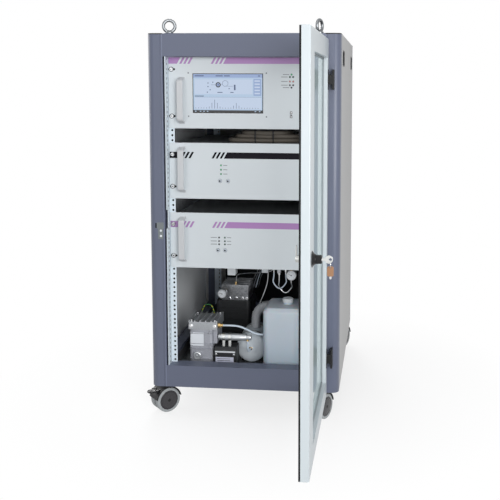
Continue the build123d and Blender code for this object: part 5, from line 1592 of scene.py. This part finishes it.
class RACK_OT_lines(RackOperator, bpy.types.Operator):
    """Lay the hoses, steel lines, duct, wires and cable looms"""
    bl_idname = "rack.lines"
    bl_label = "Lines"

    HOSE = ((-90, -300, 275), (-60, -300, 276), (-30, -300, 273), (0, -300, 260), (22, -300, 249), (47.8, -300, 248))
    DRAIN = ((-6, -300, 224.5), (-6, -300, 200), (-6, -290, 186), (-6, -268, 182), (-6, -250.5, 182))
    LONG = ((-95, -40, 345), (-95, -40, 378), (-78, -46, 388), (22, -76, 401), (48, -82, 412), (62, -85, 442),
            (62, -85, 483.5))
    SHORT = ((-6, -133.75, 233), (-6, -133.75, 270), (4, -133.75, 296), (30, -133.75, 362), (38, -133.75, 400),
             (38, -133.75, 483.5))
    DUCT = ((-2, -164, 233), (-2, -164, 258), (2, -164, 284), (22, -164, 304), (55, -164, 311), (88, -164, 304),
            (108, -164, 284), (112, -164, 258), (112, -164, 190), (112, -164, 130.3))
    WIRE = ((-190, -208.5, 274), (-190, -188, 274), (-188, -180, 282), (-181, -178, 302), (-174, -178, 309),
            (-158, -178, 309), (-151, -178, 302), (-144, -180, 282), (-142, -188, 274), (-142, -208.5, 274))

    UNIONS = ((-95, -40, 345), (62, -85, 472), (-6, -133.75, 233), (38, -133.75, 472))
    ELBOW = ((0, 0), (8, 0), (8, 8), (5.5, 8.6), (5.5, 14), (6.4, 14.6), (6.4, 17), (0, 17))
    NUT = ((0, 0), (4.6, 0), (4.6, 7), (3.4, 8), (3.4, 11), (0, 11))
    SPIGOT = ((0, 0), (4.4, 0), (4.4, 7), (2.4, 7.5), (2.4, 16), (0, 16))
    THIN_TUBES = ("tube", "caption", "hose", "tube")
    # Each cable's depth, its rise above the generator, and its left and right ends.
    LOOM = ((-300, 7, -62, 164), (-286, 7.5, -50, 170), (-294, 20, -40, 158), (-300, 31, -18, 120))
    # The spigots under the lowest unit: left edge and drop; and the loops: place and drop of both ends.
    SPIGOTS = ((64, 30), (82, 46), (104, 34), (122, 52))
    SPIGOT_DEPTH = -223
    LOOPS = (((70, 46), (110, 50), -230, "hose"), ((88, 62), (128, 68), -216, "tube"))

    def make(self, scene):
        piece = Piece("bay_lines")
        piece.turned(self.ELBOW, (-105, -300, 275), RIGHT, "brass", 6, 0.4)
        for route, radius, finish, sides in ((self.HOSE, 3.2, "hose", 16), (self.DRAIN, 3.8, "hose", 16),
                                             (self.LONG, 2.0, "tube", 12), (self.SHORT, 2.0, "tube", 12)):
            piece.line(route, radius, finish, sides)
        for place in self.UNIONS:
            piece.turned(self.NUT, place, UP, "brass", 6, 0.3)
        for number, finish in enumerate(self.THIN_TUBES):
            x = 9 * number
            piece.line(((x - 44, -20, 332), (x - 30, -40, 372 + 4 * number), (x - 8, -66, 410 + 3 * number),
                        (x + 12, -80, 452), (x + 16, -84, 486)), 1.7, finish, 10)
        self.ribbed(piece, self.DUCT, 15.5)
        piece.line(self.WIRE, 1.5, "wire", 10)
        piece.done("cabinet", "line_white", ["tubing"])
        self.loom()
        self.underside()

    def loom(self):
        """Sleeved cables that lie on the generator and go down into it at both ends."""
        deck = span("generator_chassis")[1].z
        piece = Piece("cable_loom")
        for y, rise, left, right in self.LOOM:
            top = deck + rise
            start = [(left - 12, y + 150, deck - 3), (left - 12, y + 142, deck + 9), (left - 8, y + 60, top),
                     (left, y + 12, top), (left + 40, y, top + 1)]
            end = [(left + right - x, depth, z) for x, depth, z in reversed(start)]
            piece.line((*start, ((left + right) / 2, y - 2, top), *end), 7.0, "loom", 16)
        for x in (20, 78):
            piece.box((x, x + 4), (-309, -278), (deck, deck + 39), "black", 0.6)
        piece.done("cabinet", "black_plastic")

    def underside(self):
        """What hangs under the lowest unit: a plate, two blocks, and spigots with loops of tube."""
        deck = span("lower_unit_chassis")[0].z
        piece = Piece("underside_fittings")
        for x, y, drop, finish, edge in (((-62, 24), (-206, -200), 40, "tan", 0.5),
                                         ((-92, -64), (-206, -170), 64, "white", 2.0),
                                         ((26, 48), (-210, -176), 52, "white", 3.0)):
            piece.box(x, y, (deck - drop, deck + 0.5), finish, edge)
        depth = self.SPIGOT_DEPTH
        for x, drop in self.SPIGOTS:
            piece.box((x, x + 12), (depth - 9, depth + 9), (deck - drop, deck + 0.5), "pump_head", 1.0)
            piece.turned(self.SPIGOT, (x + 6, depth, deck - drop), DOWN, "bright", 6, 0.3)
        for first, last, y, finish in self.LOOPS:
            foot = deck - last[1] - 44
            start, end = ([(x, depth, deck - drop + 1), (x, depth, deck - drop - 14), (x + lean, y, foot + 16)]
                          for (x, drop), lean in ((first, -4), (last, 4)))
            middle = ((first[0] + last[0]) / 2, y, foot - 10)
            piece.line((*start, middle, *reversed(end)), 2.2, finish, 12)
        piece.done("cabinet", "filter_metal")

    def ribbed(self, piece, route, radius):
        """A flexible duct: a smooth wall with close rings round it."""
        piece.line(route, radius - 1.0, "duct", 28)
        for start, end in zip(route, route[1:]):
            first, last = Vector(start), Vector(end)
            count = max(1, round((last - first).length / 5.0))
            for step in range(count):
                place = first.lerp(last, (step + 0.5) / count)
                piece.ring(place, last - first, radius - 1.3, 1.3, "duct", 32, 8)


class RACK_OT_stage(RackOperator, bpy.types.Operator):
    """Set the floor, the lights, the backdrop and the camera"""
    bl_idname = "rack.stage"
    bl_label = "Stage"

    # Place, target and size in metres, and share of the lamp power.
    LAMPS = (("key", (1.7, -3.4, 1.25), (0, 0, 0.6), 1.8, 1.0),
             ("fill", (-0.6, -3.6, 1.3), (0, 0, 0.6), 1.8, 0.12),
             ("left", (-3.6, 0.8, 1.6), (-0.3, 0, 0.6), 2.2, 0.42),
             ("back", (-1.1, 3.8, 1.7), (0, 0.4, 0.6), 1.4, 0.7),
             ("top", (0.0, -1.2, 3.6), (0, 0, 0.8), 2.4, 0.2))
    CAMERA_PLACE = (0.43894, -2.76578, 1.06072)
    CAMERA_TURN = (5.178, 5.631, 0.26)
    CAMERA_SHIFT = (-0.1313, -0.1742)
    FOCAL_LENGTH, SENSOR_WIDTH = 56.16, 36.0

    def make(self, scene):
        settings = scene.rack_stage
        self.floor()
        self.world(scene, settings)
        self.lamps(settings)
        self.camera(scene)
        scene.view_settings.view_transform = "Standard"
        scene.view_settings.look = "None"

    def seen(self, nodes, link):
        """1 for what the camera sees, straight or by way of metal and glass."""
        path = nodes.new("ShaderNodeLightPath")
        found = path.outputs["Is Camera Ray"]
        for ray in ("Is Glossy Ray", "Is Transmission Ray"):
            either = nodes.new("ShaderNodeMath")
            either.operation = "MAXIMUM"
            link(found, either.inputs[0])
            link(path.outputs[ray], either.inputs[1])
            found = either.outputs[0]
        return found

    def floor(self):
        """Plain paper that keeps the shadow near the cabinet and glows white further out."""
        mesh = bpy.data.meshes.new("floor")
        mesh.from_pydata([(-8, -8, 0), (8, -8, 0), (8, 8, 0), (-8, 8, 0)], [], [(0, 1, 2, 3)])
        floor = bpy.data.objects.new("floor", mesh)
        bench = Bench("floor_paper", Roughness=0.6)
        fleck = bench.noise(30.0, 3.0)
        bench.drive(Base_Color=bench.blend(fleck, (0.92, 0.92, 0.92), (0.95, 0.95, 0.95)))
        away = bench.add("ShaderNodeVectorMath", {"operation": "LENGTH"}, {0: bench.place}).outputs["Value"]
        dim = bench.add("ShaderNodeEmission", None, {"Strength": 0.35})
        glow = bench.add("ShaderNodeEmission", None, {"Strength": 1.0})
        paper = bench.add("ShaderNodeMixShader", None, {0: self.seen(bench.nodes, bench.links.new), 1: dim.outputs[0],
                                                        2: glow.outputs[0]})
        share = bench.ramp(away, 0.2, 0.95) * 0.3 + 0.7
        mix = bench.add("ShaderNodeMixShader", None, {0: share, 1: bench.shader.outputs[0], 2: paper.outputs[0]})
        bench.links.new(mix.outputs[0], bench.output.inputs["Surface"])
        mesh.materials.append(bench.material)
        bpy.context.scene.collection.objects.link(floor)
        floor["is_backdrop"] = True

    def world(self, scene, settings):
        """White to the camera, and a soft room to everything else."""
        world = bpy.data.worlds.new("studio")
        world.use_nodes = True
        nodes, link = world.node_tree.nodes, world.node_tree.links.new
        nodes.clear()
        mix, output = nodes.new("ShaderNodeMixShader"), nodes.new("ShaderNodeOutputWorld")
        link(self.seen(nodes, link), mix.inputs[0])
        for number, colour, strength in ((1, (0.95, 0.975, 1.0, 1), settings.room_light), (2, (1, 1, 1, 1), 1.0)):
            light = nodes.new("ShaderNodeBackground")
            light.inputs["Color"].default_value = colour
            light.inputs["Strength"].default_value = strength
            link(light.outputs[0], mix.inputs[number])
        link(mix.outputs[0], output.inputs["Surface"])
        scene.world = world

    def lamps(self, settings):
        """Soft square lamps, turned to their targets."""
        for name, place, target, size, share in self.LAMPS:
            light = bpy.data.lights.new(name, "AREA")
            light.size = size
            light.energy = share * settings.lamp_power
            lamp = bpy.data.objects.new(name + "_light", light)
            lamp.location = place
            lamp.rotation_euler = (Vector(target) - Vector(place)).to_track_quat("-Z", "Y").to_euler()
            bpy.context.scene.collection.objects.link(lamp)
            lamp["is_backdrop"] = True

    def camera(self, scene):
        """The camera, turned left, then down, then a little on its side."""
        view = bpy.data.cameras.new("view")
        view.lens, view.sensor_width = self.FOCAL_LENGTH, self.SENSOR_WIDTH
        view.shift_x, view.shift_y = self.CAMERA_SHIFT
        view.clip_end = 60.0
        camera = bpy.data.objects.new("view", view)
        yaw, pitch, roll = (radians(angle) for angle in self.CAMERA_TURN)
        forward = Vector((-sin(yaw) * cos(pitch), cos(yaw) * cos(pitch), -sin(pitch)))
        right = forward.cross(Vector(UP)).normalized()
        up = right.cross(forward)
        right, up = right * cos(roll) + up * sin(roll), up * cos(roll) - right * sin(roll)
        turn = Matrix((right, up, -forward)).transposed()
        camera.matrix_world = Matrix.Translation(self.CAMERA_PLACE) @ turn.to_4x4()
        scene.collection.objects.link(camera)
        scene.camera = camera


# ------------------------------------------------------------------ settings and panel

class RackColours(bpy.types.PropertyGroup):
    """The coats that a buyer may choose."""
    frame: FloatVectorProperty(name="Frame", description="Coat of the posts and crossbars", subtype="COLOR",
                               size=3, min=0, max=1, default=linear(92, 98, 117))
    skin: FloatVectorProperty(name="Skins", description="Coat of the side, roof and rear sheets", subtype="COLOR",
                              size=3, min=0, max=1, default=linear(172, 172, 172))
    door: FloatVectorProperty(name="Door", description="Coat of the door frame", subtype="COLOR",
                              size=3, min=0, max=1, default=linear(192, 200, 204))
    panel: FloatVectorProperty(name="Unit panels", description="Coat of the unit fronts", subtype="COLOR",
                               size=3, min=0, max=1, default=linear(207, 213, 217))
    stripe: FloatVectorProperty(name="Stripe", description="Colour of the bands on the two larger units",
                                subtype="COLOR", size=3, min=0, max=1, default=linear(166, 124, 178))


class RackSizes(bpy.types.PropertyGroup):
    """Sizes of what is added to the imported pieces."""
    bead_radius: FloatProperty(name="Post bead", description="Radius of the raised line on the front posts",
                               default=0.0011, min=0.0005, max=0.003, unit="LENGTH", subtype="DISTANCE")
    band_height: FloatProperty(name="Band height", description="Height of the band across a unit front",
                               default=0.0197, min=0.005, max=0.04, unit="LENGTH", subtype="DISTANCE")
    band_lean: FloatProperty(name="Band lean", description="How far the top of a slanted bar leans to the right",
                             default=0.011, min=0.0, max=0.03, unit="LENGTH", subtype="DISTANCE")


class RackStage(bpy.types.PropertyGroup):
    """Strengths of the light."""
    room_light: FloatProperty(name="Room light", description="Strength of the light from all round",
                              default=0.28, min=0, max=5)
    lamp_power: FloatProperty(name="Lamp power", description="Power of the main soft lamp",
                              default=105.0, min=0, max=1000, unit="POWER")


STEPS = (RACK_OT_finishes, RACK_OT_cabinet, RACK_OT_eyes, RACK_OT_rails, RACK_OT_units, RACK_OT_screen,
         RACK_OT_controls, RACK_OT_insides, RACK_OT_door, RACK_OT_lock, RACK_OT_casters, RACK_OT_supply,
         RACK_OT_lines, RACK_OT_stage)


class RACK_PT_finisher(bpy.types.Panel):
    """Settings and steps, from the finishes to the stage"""
    bl_label = "Rack Finisher"
    bl_idname = "RACK_PT_finisher"
    bl_space_type = "VIEW_3D"
    bl_region_type = "UI"
    bl_category = "Rack"

    def draw(self, context):
        scene = context.scene
        for group in (scene.rack_colours, scene.rack_sizes, scene.rack_stage):
            box = self.layout.box()
            for name in group.__annotations__:
                box.prop(group, name)
        for step in STEPS:
            self.layout.operator(step.bl_idname)


SETTINGS = {"rack_colours": RackColours, "rack_sizes": RackSizes, "rack_stage": RackStage}
CLASSES = (*SETTINGS.values(), *STEPS, RACK_PT_finisher)


def register():
    for each in CLASSES:
        bpy.utils.register_class(each)
    for name, group in SETTINGS.items():
        setattr(bpy.types.Scene, name, PointerProperty(type=group))


def unregister():
    for name in SETTINGS:
        delattr(bpy.types.Scene, name)
    for each in reversed(CLASSES):
        bpy.utils.unregister_class(each)


def main():
    register()
    for step in STEPS:
        group, name = step.bl_idname.split(".")
        getattr(getattr(bpy.ops, group), name)()
    corners = [[list(corner) for corner in box] for box in (CAD_BOX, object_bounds())]


if __name__ == "__main__":
    main()
